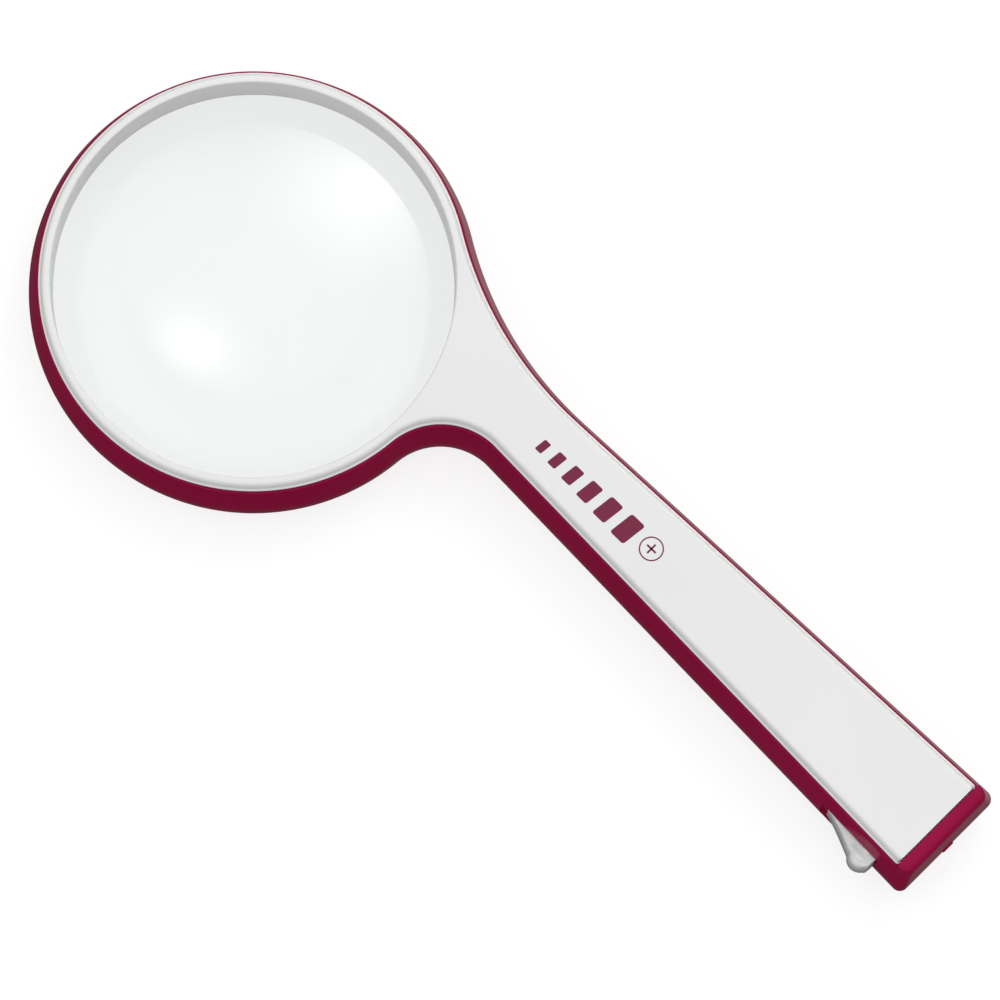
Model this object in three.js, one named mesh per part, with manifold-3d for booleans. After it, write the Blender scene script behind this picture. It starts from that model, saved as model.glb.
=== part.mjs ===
// Illuminated hand magnifier for low vision: an 8 dioptre lens sunk in a round ring, with an off-centre
// tapered handle that holds the lamp, its slide switch and two AAA cells.
//
// It lies on its back. The face is up (+Z), the handle runs along +X and the lens axis is parallel to Z.
// Inside the group X and Y are measured from the lens axis and Z from the back plane.

import * as THREE from 'three';
import { mergeVertices } from 'three/addons/utils/BufferGeometryUtils.js';
import Module from 'manifold-3d';

const wasm = await Module();
wasm.setup();

// ---------------------------------------------------------------- driving dimensions (millimetres)

// Outline of the white face
const RING_R = 44.5;            // outer edge of the face round the lens
const HANDLE_Y = 18.2;          // handle's centre line, off the lens axis
const NECK_X = RING_R + 21.5;   // where the handle's straight taper is measured from
const CELL_R = 5.25;            // the cells set the handle's width and the whole thickness
const NECK_HALF = CELL_R + 2.55; // half width of the face at the neck
const TAPER = 0.0325;           // growth of the half width per millimetre toward the butt
const HANDLE_LENGTH = 135.5;    // ring's edge to the face's straight end
const FACE_END_X = RING_R + HANDLE_LENGTH;
const FILLET_UPPER = 82;        // shallow sweep from ring to handle
const FILLET_LOWER = 15.7;      // tight neck on the other side
const FACE_CORNER_R = 0.6;

// Heights
const FACE_Z = 2 * CELL_R + 9.5; // overall thickness
const FACE_EDGE_DROP = 1.4;     // rounded edge of the face, downward
const FACE_EDGE_INSET = 1.3;    // and inward
const FACE_THICKNESS = 2.0;
const FACE_RIM = 2.2;           // depth of the face's outer edge below the face

// Rear shell
const FLARE = 2.3;              // how far the side wall stands out past the face at its widest
const FLARE_Z = CELL_R + 3.75;  // height of the widest line
const RIM_STEP = 0.5;           // rear shell's rim past the face's edge
const RIM_GAP = 0.3;            // shadow gap between rim and face
const WALL = 1.9;
const FLOOR = 2.4;
const BACK_ROUND = 3.6;         // width of the rounding from side wall to back
const BUTT_PAST_FACE = 3.9;     // butt past the end of the face
const BUTT_CORNER_R = 1.8;
const BUTT_WALL = 2.2;
const BUTT_TOP_DROP = 0.2;      // top of the butt block below the face
const BUTT_TOP_INSET = 0.8;     // rounding of the butt block's top edge
const BUTT_END_INSET = 2.4;     // wider rounding where the top runs over into the butt's end
const BUTT_TOP_STEPS = 3;
const CAVITY_CORNER_R = 1.0;
// Rounding inside, from the floor into the side wall: height above the floor and step in from the wall.
const CAVITY_ROUNDING = [[0, 1.4], [1.6, 0.6], [3.6, 0.15]];

// Joint between the shells
const SKIRT_INSET = 0.6;
const SKIRT_WALL = 1.2;
const SKIRT_DEPTH = 2.0;
const SKIRT_GAP = 0.2;

// Lens and what holds it
const LENS_R = RING_R - 2.0;
const LENS_EDGE = 2.0;
const LENS_FLAT = 0.8;          // flat flange outside the polished surface
const LENS_RISE = 7.48;         // each polished surface's rise from its edge to its middle
const LENS_MID_Z = FACE_Z / 2;
const LENS_GAP = 0.3;           // round the lens in its bore
const SEAT_GAP = 0.05;
const MOUTH_R = RING_R - 2.5;   // ring's mouth at the face
const MOUTH_CHAMFER = 0.35;
const BORE_END_Z = 2.0;         // back end of the lens tube
const RETAINER_GAP = 0.1;
const RETAINER_Z = 0.3;
const BACK_OPENING_GAP = 0.1;   // round the retainer in the rear shell

// Cells and their tray
const CELL_LENGTH = 44.5;
const CELL_SHOULDER = 0.5;
const CELL_NUB_R = 1.9;
const CELL_NUB = 1.0;
const CELL_Z = CELL_R + 2.85;
const CELL_GAP = 0.35;
const END_GAP = 0.1;            // between things stacked end to end
const TRAY_X = RING_R + 25.1;
const TRAY_WALL = 1.0;
const TRAY_FOOT_GAP = 0.1;
const CONTACT_THICKNESS = 0.4;
const CONTACT_HALF = 4.5;
const SPRING_LENGTH = 4.2;
const SPRING_R = 3.2;
const SPRING_TIP_R = 2.3;
const SPRING_WIRE_R = 0.3;
const SPRING_TURNS = 3;

// Battery door
const DOOR_HALF = 6.1;
const DOOR_THICKNESS = 2.2;
const DOOR_FLANGE = 0.9;        // flange past the plate on each side
const DOOR_FLANGE_Z = 1.25;
const DOOR_FLANGE_THICKNESS = 0.9;
const DOOR_GAP = 0.2;
const DOOR_END_GAP = 0.3;
const DOOR_TAB_TOP = 9.4;       // top of the door's turned-up end
const DOOR_NIB = 0.3;           // small nail ridge on the turned-up end
const DOOR_NIB_HALF = 1.5;
const DOOR_NIB_HEIGHT = 0.9;
const GRIP_COUNT = 6;
const GRIP_PITCH = 2.0;
const GRIP_WIDTH = 0.8;
const GRIP_DEPTH = 0.5;
const GRIP_HALF = 4.0;
const GRIP_X = FACE_END_X - 20;
const DECK_THICKNESS = 1.5;     // bridge over the door at the butt
const DECK_UNDER_TRAY = 2.2;    // its reach under the tray's butt end
const DECK_HALF = 9;

// Screws
const SCREW_SHANK_R = 0.9;
const SCREW_HEAD_R = 1.7;
const SCREW_HEAD = 1.5;
const SCREW_HEAD_CHAMFER = 0.3;
const SCREW_POINT = 1;
const SCREW_LENGTH = 11;
const SCREW_NECK_X = RING_R + 20;
const SCREW_NECK_HALF = 3.9;
const SCREW_BUTT_X = FACE_END_X - 5;
const SCREW_GAP = 0.1;
const BOSS_R = 2.3;
const BOSS_SPLIT_Z = 8.8;
const BOSS_SPLIT_GAP = 0.4;
const RIB_THICKNESS = 1.2;
const RIB_HALF = 5.5;
const RIB_COUNT = 3;
const RIB_PITCH = 33;
const RIB_X = TRAY_X + 15.4;    // first rib

// Lamp
const LAMP_X = RING_R + 4.3;
const WINDOW_R = 3.0;
const WINDOW_GAP = 0.15;
const WINDOW_FACE_Z = 0.2;
const WINDOW_FLANGE_R = 3.8;
const WINDOW_FLANGE = 0.8;
const DIODE_SIZE = 3.5;
const DIODE_HEIGHT = 1.4;
const LAMP_BOARD_LENGTH = 13.2;
const LAMP_BOARD_WIDTH = 11.4;
const BOARD_THICKNESS = 1.0;
const LAMP_BOARD_X = LAMP_X + 1.5; // middle of the board
const LAMP_BOARD_Z = 5.2;       // its underside
const POST_R = 1.1;
const POST_INSET = 1.7;
const RESISTOR = [3.2, 1.6, 0.6];

// Switch, in its own frame: x along the side wall toward the butt, y inward from the widest line
const SWITCH_X = FACE_END_X - 12;
const THUMB_HALF_HEIGHT = 3.3;
const POCKET_LENS_END = -8.1;
const POCKET_BUTT_END = 8.0;
const POCKET_DEPTH = 1.1;
const POCKET_HALF_HEIGHT = THUMB_HALF_HEIGHT + 0.7;
const THUMB_LENS_END = -6.6;
const THUMB_BUTT_END = 7.6;
const THUMB_PROUD = 3.8;        // how far it stands out past the wall
const THUMB_ROUND_R = 2.7;
const THUMB_MEET_ANGLE = 1.2 * Math.PI; // where the ramp runs into the round end
const THUMB_GAP = 0.2;
const SWITCH_TRAVEL = 1.4;
const STEM_X = 3.2;
const STEM_HALF = 1.5;
const STEM_HALF_HEIGHT = 1.0;
const STEM_END_Y = 3.2;
const FORK_DEPTH = 1.2;
const LEVER_HALF = 0.55;
const LEVER_HALF_HEIGHT = 0.8;
const LEVER_GAP = 0.25;
const HOUSING_LENGTH = 8.6;
const HOUSING_Y = 5.3;
const HOUSING_DEPTH = 3.5;
const HOUSING_HALF_HEIGHT = 1.9;
const LEVER_SLOT_DEPTH = 1.0;
const SWITCH_BOARD_LENGTH = 9.6;
const SWITCH_BOARD_HALF_HEIGHT = 3.2;
const SWITCH_BOARD_GAP = 0.15;

// Wires
const WIRE_R = 0.5;
const WIRE_SIDES = 8;
const WIRE_SIDESTEP = 0.6;      // small rise or step that keeps a lead off its neighbours
const PAD_INSET = 2;            // solder pads, in from the lamp board's posts
const CELL_PAD_Y = 2;           // and off the handle's centre line
const SWITCH_PAD_Y = 3;
const PAD_LEAD = 3.5;           // a lead's first bend, past the posts
const CHANNEL_START = 4;        // the long lead's straight run, in from the tray's lens end
const CHANNEL_END = 8;          // and from its butt end
const TERMINAL_Y = 1.2;         // the switch's terminal, in from its case
// Bends of the short lead past the tray: along the handle, toward the switch and upward.
const SHORT_LEAD_BENDS = [[1.2, 0.3, 0], [2.6, 1.2, 0.4]];
const SHORT_LEAD_END = 1;       // its end above the cells' axis

// Facets
const ROUND = 64;
const SMALL_ROUND = 20;
const RING_STEPS = 56;
const FILLET_STEPS = 7;
const CORNER_STEPS = 4;
const EDGE_STEPS = 4;
const LENS_STEPS = 8;
const CUT = 0.5;                // how far a cutting body runs past what it cuts

// ---------------------------------------------------------------- sizes that follow

const BUTT_X = FACE_END_X + BUTT_PAST_FACE;
const RIM_Z = FACE_Z - FACE_RIM - RIM_GAP;
const BORE_R = LENS_R + LENS_GAP;
const TUBE_R = RING_R - SKIRT_INSET;
const SEAT_Z = LENS_MID_Z + LENS_EDGE / 2 + SEAT_GAP;
const POLISHED_R = LENS_R - LENS_FLAT; // polished surfaces' edge, and the front seat's
const LENS_SURFACE_R = (POLISHED_R ** 2 + LENS_RISE ** 2) / (2 * LENS_RISE);
const RETAINER_R = BORE_R - RETAINER_GAP;
const TRAY_INNER = CELL_R + CELL_GAP;
const TRAY_HALF = TRAY_INNER + TRAY_WALL;
const TRAY_INNER_TOP = CELL_Z + TRAY_INNER;
const TRAY_TOP = TRAY_INNER_TOP + TRAY_WALL;
const CONTACT_FRONT_X = TRAY_X + TRAY_WALL + END_GAP;
const CELL_X = CONTACT_FRONT_X + CONTACT_THICKNESS + END_GAP;
const CELL_XS = [CELL_X, CELL_X + CELL_LENGTH + END_GAP];
const SPRING_X = CELL_XS[1] + CELL_LENGTH + END_GAP;
const CONTACT_BACK_X = SPRING_X + SPRING_LENGTH + END_GAP;
const TRAY_END_X = CONTACT_BACK_X + CONTACT_THICKNESS + END_GAP + TRAY_WALL;
const DOOR_SLOT_X = TRAY_X + TRAY_WALL + DOOR_END_GAP;
const DECK_X = TRAY_END_X - DECK_UNDER_TRAY;
const DECK_Z = DOOR_THICKNESS + DOOR_GAP;
const DECK_TOP = DECK_Z + DECK_THICKNESS;
const TAPER_ANGLE = Math.atan(TAPER);

const halfWidth = (x) => NECK_HALF + TAPER * (x - NECK_X);

// ---------------------------------------------------------------- materials

function finish(color, roughness, metalness = 0) {
  return new THREE.MeshStandardMaterial({ color, roughness, metalness });
}

const WHITE_PLASTIC = finish(0xededeb, 0.35);
const WINE_PLASTIC = finish(0x7c1437, 0.28);
const CLEAR_PLASTIC = finish(0xf4f8f8, 0.04);
const SILVER_PLATE = finish(0xc4c6c7, 0.25, 0.9);
const BLACK_PLASTIC = finish(0x1b1b1d, 0.5);
const BOARD_GREEN = finish(0x1f6b41, 0.45);
const NICKEL = finish(0xb9b6ab, 0.3, 1.0);
const DIODE_CERAMIC = finish(0xf2e7a8, 0.4);
const CELL_JACKET = finish(0x39414b, 0.4, 0.3);
const STEEL = finish(0x8f9194, 0.35, 1.0);
const WIRE_RED = finish(0xa91f1f, 0.45);
const WIRE_BLACK = finish(0x202022, 0.45);
const WIRE_WHITE = finish(0xdcdcd8, 0.45);

// ---------------------------------------------------------------- solids

function solidOf(geometry) {
  const bare = geometry.clone();
  bare.deleteAttribute('normal');
  bare.deleteAttribute('uv');
  const merged = mergeVertices(bare, 1e-4);
  return new wasm.Manifold(new wasm.Mesh({
    numProp: 3,
    vertProperties: new Float32Array(merged.attributes.position.array),
    triVerts: new Uint32Array(merged.index.array),
  }));
}

function geometryOf(solid) {
  const mesh = solid.getMesh();
  const geometry = new THREE.BufferGeometry();
  geometry.setAttribute('position', new THREE.BufferAttribute(new Float32Array(mesh.vertProperties), 3));
  geometry.setIndex(new THREE.BufferAttribute(new Uint32Array(mesh.triVerts), 1));
  geometry.computeVertexNormals();
  return geometry;
}

// A block given by its limits.
function block([x0, x1], [y0, y1], [z0, z1]) {
  const geometry = new THREE.BoxGeometry(x1 - x0, y1 - y0, z1 - z0);
  geometry.translate((x0 + x1) / 2, (y0 + y1) / 2, (z0 + z1) / 2);
  return solidOf(geometry);
}

// A block across the handle, centred on its middle line.
function handleBlock([x0, x1], half, [z0, z1]) {
  return block([x0, x1], [HANDLE_Y - half, HANDLE_Y + half], [z0, z1]);
}

// A solid of revolution about a vertical line through (x, y). The profile's points are [radius, z].
function turned(profile, x = 0, y = 0, segments = ROUND) {
  const points = profile.map(([r, z]) => new THREE.Vector2(r, z));
  const geometry = new THREE.LatheGeometry(points, segments);
  geometry.rotateX(Math.PI / 2);
  geometry.translate(x, y, 0);
  return geometry;
}

function peg(r, z0, z1, x = 0, y = 0, segments = SMALL_ROUND) {
  return solidOf(turned([[0, z0], [r, z0], [r, z1], [0, z1]], x, y, segments));
}

// A closed skin through stacked outlines that all have the same number of points, lowest first.
function skinned(sections) {
  const count = sections[0].outline.length;
  const positions = [];
  for (const { z, outline } of sections) {
    for (const point of outline) positions.push(point.x, point.y, z);
  }
  const faces = [];
  for (let level = 0; level < sections.length - 1; level++) {
    for (let i = 0; i < count; i++) {
      const a = level * count + i;
      const b = level * count + ((i + 1) % count);
      faces.push(a, b, b + count, a, b + count, a + count);
    }
  }
  const top = (sections.length - 1) * count;
  for (const [a, b, c] of THREE.ShapeUtils.triangulateShape(sections[0].outline, [])) {
    faces.push(a, c, b);
  }
  for (const [a, b, c] of THREE.ShapeUtils.triangulateShape(sections.at(-1).outline, [])) {
    faces.push(top + a, top + b, top + c);
  }
  const geometry = new THREE.BufferGeometry();
  geometry.setAttribute('position', new THREE.Float32BufferAttribute(positions, 3));
  geometry.setIndex(faces);
  return solidOf(geometry);
}

function arc(centre, radius, from, to, steps) {
  const curve = new THREE.EllipseCurve(centre.x, centre.y, radius, radius, from, to, to < from);
  return curve.getPoints(steps);
}

// ---------------------------------------------------------------- the magnifier's outline

// Each side of the handle: a point on the straight edge, its direction and its outward normal.
function handleSide(sign) {
  const normal = new THREE.Vector2(-TAPER, sign).normalize();
  const along = new THREE.Vector2(1, sign * TAPER).normalize();
  return { point: new THREE.Vector2(NECK_X, HANDLE_Y + sign * NECK_HALF), along, normal };
}

// Centre of the concave fillet that touches the ring and one straight edge.
function filletCentre(side, radius) {
  const start = side.point.clone().addScaledVector(side.normal, radius);
  const reach = RING_R + radius;
  const b = start.dot(side.along);
  const t = -b + Math.sqrt(b * b - start.lengthSq() + reach * reach);
  return start.addScaledVector(side.along, t);
}

const UPPER = handleSide(1);
const LOWER = handleSide(-1);
const UPPER_CENTRE = filletCentre(UPPER, FILLET_UPPER);
const LOWER_CENTRE = filletCentre(LOWER, FILLET_LOWER);

// Where the line "side", moved out by offset less inset, crosses x = endX less inset.
function cornerCentre(side, offset, endX, inset) {
  const on = side.point.clone().addScaledVector(side.normal, offset - inset);
  const x = endX - inset;
  return new THREE.Vector2(x, on.y + (x - on.x) * (side.along.y / side.along.x));
}

// The face's outline moved outward by offset, with its own end and end corners. Counterclockwise.
function outline(offset, endX, cornerR) {
  const upperAngle = UPPER_CENTRE.angle();
  const lowerAngle = LOWER_CENTRE.angle();
  const lowerCorner = cornerCentre(LOWER, offset, endX, cornerR);
  const upperCorner = cornerCentre(UPPER, offset, endX, cornerR);
  const origin = new THREE.Vector2();
  const downward = LOWER.normal.angle() - 2 * Math.PI;
  const intoLower = LOWER.normal.clone().negate().angle();
  const intoUpper = UPPER.normal.clone().negate().angle();
  return [
    ...arc(origin, RING_R + offset, upperAngle, lowerAngle, RING_STEPS),
    ...arc(LOWER_CENTRE, FILLET_LOWER - offset, lowerAngle - Math.PI, intoLower, FILLET_STEPS).slice(1),
    ...arc(lowerCorner, cornerR, downward, 0, CORNER_STEPS),
    ...arc(upperCorner, cornerR, 0, UPPER.normal.angle(), CORNER_STEPS),
    ...arc(UPPER_CENTRE, FILLET_UPPER - offset, intoUpper, upperAngle + Math.PI, FILLET_STEPS).slice(0, -1),
  ];
}

// ---------------------------------------------------------------- front shell

function quarterSteps(steps) {
  return Array.from({ length: steps + 1 }, (_, i) => (i / steps) * (Math.PI / 2));
}

function facePlate() {
  const edge = quarterSteps(EDGE_STEPS).map((angle) => ({
    z: FACE_Z - FACE_EDGE_DROP + FACE_EDGE_DROP * Math.sin(angle),
    outline: outline(-FACE_EDGE_INSET * (1 - Math.cos(angle)), FACE_END_X, FACE_CORNER_R),
  }));
  const rim = { z: FACE_Z - FACE_RIM, outline: outline(0, FACE_END_X, FACE_CORNER_R) };
  return skinned([rim, ...edge]);
}

function prism(offset, endX, cornerR, z0, z1) {
  const points = outline(offset, endX, cornerR);
  return skinned([{ z: z0, outline: points }, { z: z1, outline: points }]);
}

const SCREWS = [
  { x: SCREW_NECK_X, y: HANDLE_Y - SCREW_NECK_HALF, seat: FLOOR - DOOR_GAP },
  { x: SCREW_NECK_X, y: HANDLE_Y + SCREW_NECK_HALF, seat: FLOOR - DOOR_GAP },
  { x: SCREW_BUTT_X, y: HANDLE_Y, seat: DECK_TOP + SCREW_GAP },
];

function frontShell() {
  const underside = FACE_Z - FACE_THICKNESS;
  const skirtBottom = FACE_Z - FACE_RIM - SKIRT_DEPTH;
  const skirtEnd = FACE_END_X - SKIRT_INSET;
  const hollowEnd = skirtEnd - SKIRT_WALL;
  let shell = facePlate()
    .add(prism(-SKIRT_INSET, skirtEnd, FACE_CORNER_R, skirtBottom, underside))
    .subtract(prism(-SKIRT_INSET - SKIRT_WALL, hollowEnd, FACE_CORNER_R, skirtBottom - CUT, underside))
    .add(peg(TUBE_R, BORE_END_Z, underside + CUT, 0, 0, ROUND));

  for (const { x, y } of SCREWS) {
    shell = shell.add(peg(BOSS_R, BOSS_SPLIT_Z + BOSS_SPLIT_GAP, underside + CUT, x, y));
  }
  for (let i = 0; i < RIB_COUNT; i++) {
    const x = RIB_X + i * RIB_PITCH;
    shell = shell.add(handleBlock([x, x + RIB_THICKNESS], RIB_HALF, [TRAY_TOP + SKIRT_GAP, underside + CUT]));
  }
  const boardTop = LAMP_BOARD_Z + BOARD_THICKNESS;
  const boardRib = [LAMP_BOARD_X, LAMP_BOARD_X + RIB_THICKNESS];
  shell = shell.add(handleBlock(boardRib, POST_INSET, [boardTop + END_GAP, underside + CUT]));

  const chamferZ = FACE_Z - MOUTH_CHAMFER;
  const mouth = turned([
    [0, SEAT_Z], [POLISHED_R, SEAT_Z], [MOUTH_R, chamferZ], [MOUTH_R + MOUTH_CHAMFER + CUT, FACE_Z + CUT],
    [0, FACE_Z + CUT],
  ]);
  shell = shell
    .subtract(solidOf(mouth))
    .subtract(peg(BORE_R, BORE_END_Z - CUT, SEAT_Z, 0, 0, ROUND));
  for (const { x, y, seat } of SCREWS) {
    shell = shell.subtract(peg(SCREW_SHANK_R + SCREW_GAP, BOSS_SPLIT_Z, seat + SCREW_LENGTH + CUT, x, y));
  }
  return shell;
}

// ---------------------------------------------------------------- rear shell

// Side wall past the face's edge, from the back plane up to the widest line.
function backSections(steps) {
  return quarterSteps(steps).reverse().map((angle) => {
    const side = FLARE - BACK_ROUND * (1 - Math.cos(angle));
    return { z: FLARE_Z * (1 - Math.sin(angle)), side, end: BUTT_X + side - FLARE };
  });
}

function rearOuter() {
  const topEdge = FACE_Z - BUTT_TOP_DROP;
  const rimEnd = BUTT_X - RIM_STEP;
  const buttTop = quarterSteps(BUTT_TOP_STEPS).slice(1).map((angle) => {
    const z = RIM_Z + (topEdge - RIM_Z) * Math.sin(angle);
    const share = Math.min(1, Math.max(0, 1 - (topEdge - z) / BUTT_TOP_INSET));
    return {
      z,
      side: RIM_STEP - BUTT_TOP_INSET * (1 - Math.sqrt(1 - share ** 2)),
      end: rimEnd - BUTT_END_INSET * (1 - Math.cos(angle)),
    };
  });
  const levels = [
    ...backSections(EDGE_STEPS + 2),
    { z: RIM_Z, side: RIM_STEP, end: rimEnd },
    ...buttTop,
  ];
  return skinned(levels.map(({ z, side, end }) => ({ z, outline: outline(side, end, BUTT_CORNER_R) })));
}

function rearCavity() {
  const inner = FLARE - WALL;
  const end = BUTT_X - BUTT_WALL;
  const levels = [
    ...CAVITY_ROUNDING.map(([rise, step]) => ({ z: FLOOR + rise, side: inner - step })),
    { z: FLARE_Z, side: inner },
    { z: RIM_Z + RIM_GAP, side: SKIRT_GAP - SKIRT_INSET },
  ];
  return skinned(levels.map(({ z, side }) => ({ z, outline: outline(side, end, CAVITY_CORNER_R) })));
}

// The switch stands in a frame along the lower side wall.
const SWITCH_Y = HANDLE_Y - halfWidth(SWITCH_X) - FLARE / Math.cos(TAPER_ANGLE);

function inSwitchFrame(solid) {
  const frame = new THREE.Object3D();
  frame.position.set(SWITCH_X, SWITCH_Y, FLARE_Z);
  frame.rotation.z = -TAPER_ANGLE;
  frame.updateMatrix();
  return solidOf(geometryOf(solid).applyMatrix4(frame.matrix));
}

const HOUSING_X = [STEM_X - HOUSING_LENGTH / 2, STEM_X + HOUSING_LENGTH / 2];
const HOUSING_BACK = HOUSING_Y + HOUSING_DEPTH;
const SWITCH_BOARD_X = [STEM_X - SWITCH_BOARD_LENGTH / 2, STEM_X + SWITCH_BOARD_LENGTH / 2];
const SWITCH_BOARD_Y = [HOUSING_BACK + SWITCH_BOARD_GAP, HOUSING_BACK + SWITCH_BOARD_GAP + BOARD_THICKNESS];

function switchCuts() {
  const pocket = block(
    [POCKET_LENS_END, POCKET_BUTT_END], [-THUMB_PROUD, POCKET_DEPTH],
    [-POCKET_HALF_HEIGHT, POCKET_HALF_HEIGHT],
  );
  const slot = block(
    [STEM_X - STEM_HALF - SWITCH_TRAVEL - LEVER_GAP, STEM_X + STEM_HALF + LEVER_GAP],
    [0, HOUSING_Y - CUT], [-STEM_HALF_HEIGHT - LEVER_GAP, STEM_HALF_HEIGHT + LEVER_GAP],
  );
  return inSwitchFrame(pocket.add(slot));
}

function switchBoardRib() {
  const bottom = DECK_Z - FLARE_Z + END_GAP;
  const grip = -SWITCH_BOARD_HALF_HEIGHT + BOARD_THICKNESS;
  const rib = block(
    [HOUSING_X[0] + TRAY_WALL, HOUSING_X[1] - TRAY_WALL],
    [SWITCH_BOARD_Y[0] - TRAY_WALL, SWITCH_BOARD_Y[1] + TRAY_WALL], [bottom, grip],
  );
  const groove = block(
    [HOUSING_X[0] - CUT, HOUSING_X[1] + CUT],
    [SWITCH_BOARD_Y[0] - SWITCH_BOARD_GAP, SWITCH_BOARD_Y[1] + SWITCH_BOARD_GAP],
    [-SWITCH_BOARD_HALF_HEIGHT - SWITCH_BOARD_GAP, grip + CUT],
  );
  return inSwitchFrame(rib.subtract(groove));
}

function doorSlot() {
  const half = DOOR_HALF + DOOR_GAP;
  const far = BUTT_X + CUT;
  const tabInner = BUTT_X - BUTT_WALL - DOOR_GAP;
  const flangeBottom = DOOR_FLANGE_Z - DOOR_GAP;
  return handleBlock([DOOR_SLOT_X, far], half, [-CUT, DECK_Z])
    .add(handleBlock([DOOR_SLOT_X, far], half + DOOR_FLANGE, [flangeBottom, DECK_Z]))
    .add(handleBlock([tabInner, far], half, [-CUT, DOOR_TAB_TOP + DOOR_GAP]));
}

const LAMP_POSTS = [-1, 1].flatMap((sx) => [-1, 1].map((sy) => ({
  x: LAMP_BOARD_X + sx * (LAMP_BOARD_LENGTH / 2 - POST_INSET),
  y: HANDLE_Y + sy * (LAMP_BOARD_WIDTH / 2 - POST_INSET),
})));

function rearShell() {
  const cavityFloor = FLOOR - END_GAP;
  let shell = rearOuter()
    .subtract(prism(RIM_STEP + CUT, FACE_END_X + RIM_GAP, FACE_CORNER_R, RIM_Z, FACE_Z + CUT))
    .subtract(rearCavity());

  for (const { x, y } of LAMP_POSTS) {
    shell = shell.add(peg(POST_R, cavityFloor, LAMP_BOARD_Z, x, y));
  }
  const deck = handleBlock([DECK_X, BUTT_X - BUTT_WALL + CUT], DECK_HALF, [DECK_Z, DECK_TOP]);
  shell = shell.add(deck.intersect(rearOuter()));
  for (const { x, y, seat } of SCREWS) {
    shell = shell.add(peg(BOSS_R + SCREW_GAP, Math.min(cavityFloor, seat), BOSS_SPLIT_Z, x, y));
  }
  shell = shell.add(switchBoardRib());

  const opening = RETAINER_R + BACK_OPENING_GAP;
  shell = shell
    .subtract(doorSlot())
    .subtract(switchCuts())
    .subtract(peg(opening, -CUT, BORE_END_Z - END_GAP, 0, 0, ROUND))
    .subtract(peg(TUBE_R + SKIRT_GAP, BORE_END_Z - END_GAP, FACE_Z, 0, 0, ROUND))
    .subtract(peg(WINDOW_R + WINDOW_GAP, -CUT, FLOOR + CUT, LAMP_X, HANDLE_Y));
  for (const { x, y, seat } of SCREWS) {
    shell = shell
      .subtract(peg(SCREW_HEAD_R + SCREW_GAP, -CUT, seat + END_GAP, x, y))
      .subtract(peg(SCREW_SHANK_R + SCREW_GAP, 0, BOSS_SPLIT_Z + CUT, x, y));
  }
  return shell;
}

// ---------------------------------------------------------------- lens and retainer
// The retainer bears on the lens's flat flange, so its bore is as wide as the polished surface.

function lens() {
  const drop = LENS_SURFACE_R - LENS_RISE;
  const halfEdge = LENS_EDGE / 2;
  const surface = Array.from({ length: LENS_STEPS + 1 }, (_, i) => {
    const r = (POLISHED_R * i) / LENS_STEPS;
    return [r, halfEdge + Math.sqrt(LENS_SURFACE_R ** 2 - r * r) - drop];
  });
  const back = surface.map(([r, z]) => [r, LENS_MID_Z - z]);
  const front = surface.map(([r, z]) => [r, LENS_MID_Z + z]).reverse();
  const edge = [[LENS_R, LENS_MID_Z - halfEdge], [LENS_R, LENS_MID_Z + halfEdge]];
  return solidOf(turned([...back, ...edge, ...front]));
}

function lensRetainer() {
  const top = LENS_MID_Z - LENS_EDGE / 2 - SEAT_GAP;
  return peg(RETAINER_R, RETAINER_Z, top, 0, 0, ROUND)
    .subtract(peg(POLISHED_R, RETAINER_Z - CUT, top + CUT, 0, 0, ROUND));
}

// ---------------------------------------------------------------- lamp

function lightWindow() {
  const flangeZ = FLOOR + END_GAP;
  return solidOf(turned([
    [0, WINDOW_FACE_Z], [WINDOW_R, WINDOW_FACE_Z], [WINDOW_R, flangeZ], [WINDOW_FLANGE_R, flangeZ],
    [WINDOW_FLANGE_R, flangeZ + WINDOW_FLANGE], [0, flangeZ + WINDOW_FLANGE],
  ], LAMP_X, HANDLE_Y, SMALL_ROUND));
}

function lampBoard() {
  const halfLength = LAMP_BOARD_LENGTH / 2;
  const lengthwise = [LAMP_BOARD_X - halfLength, LAMP_BOARD_X + halfLength];
  const z = LAMP_BOARD_Z + SEAT_GAP;
  return handleBlock(lengthwise, LAMP_BOARD_WIDTH / 2, [z, z + BOARD_THICKNESS - SEAT_GAP]);
}

function lampDiode() {
  const half = DIODE_SIZE / 2;
  return handleBlock([LAMP_X - half, LAMP_X + half], half, [LAMP_BOARD_Z - DIODE_HEIGHT, LAMP_BOARD_Z]);
}

function lampResistor() {
  const [length, width, height] = RESISTOR;
  const x = LAMP_X - DIODE_SIZE / 2;
  const z = LAMP_BOARD_Z + BOARD_THICKNESS + SEAT_GAP;
  return handleBlock([x - length / 2, x + length / 2], width / 2, [z, z + height]);
}

// ---------------------------------------------------------------- cells, tray and contacts

// Turns a body made about Z so that its axis lies along +X at the cells' height, starting at x.
function alongCells(geometry, x) {
  geometry.rotateY(Math.PI / 2);
  geometry.translate(x, HANDLE_Y, CELL_Z);
  return geometry;
}

function cell(x) {
  const profile = [
    [0, 0], [CELL_NUB_R, 0], [CELL_NUB_R, CELL_NUB], [CELL_R - CELL_SHOULDER, CELL_NUB],
    [CELL_R, CELL_NUB + CELL_SHOULDER], [CELL_R, CELL_LENGTH], [0, CELL_LENGTH],
  ];
  return alongCells(turned(profile, 0, 0, SMALL_ROUND + 4), x);
}

function contactPlate(x) {
  const bottom = DECK_TOP + TRAY_FOOT_GAP;
  return handleBlock([x, x + CONTACT_THICKNESS], CONTACT_HALF, [bottom, CELL_Z + CONTACT_HALF]);
}

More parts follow.
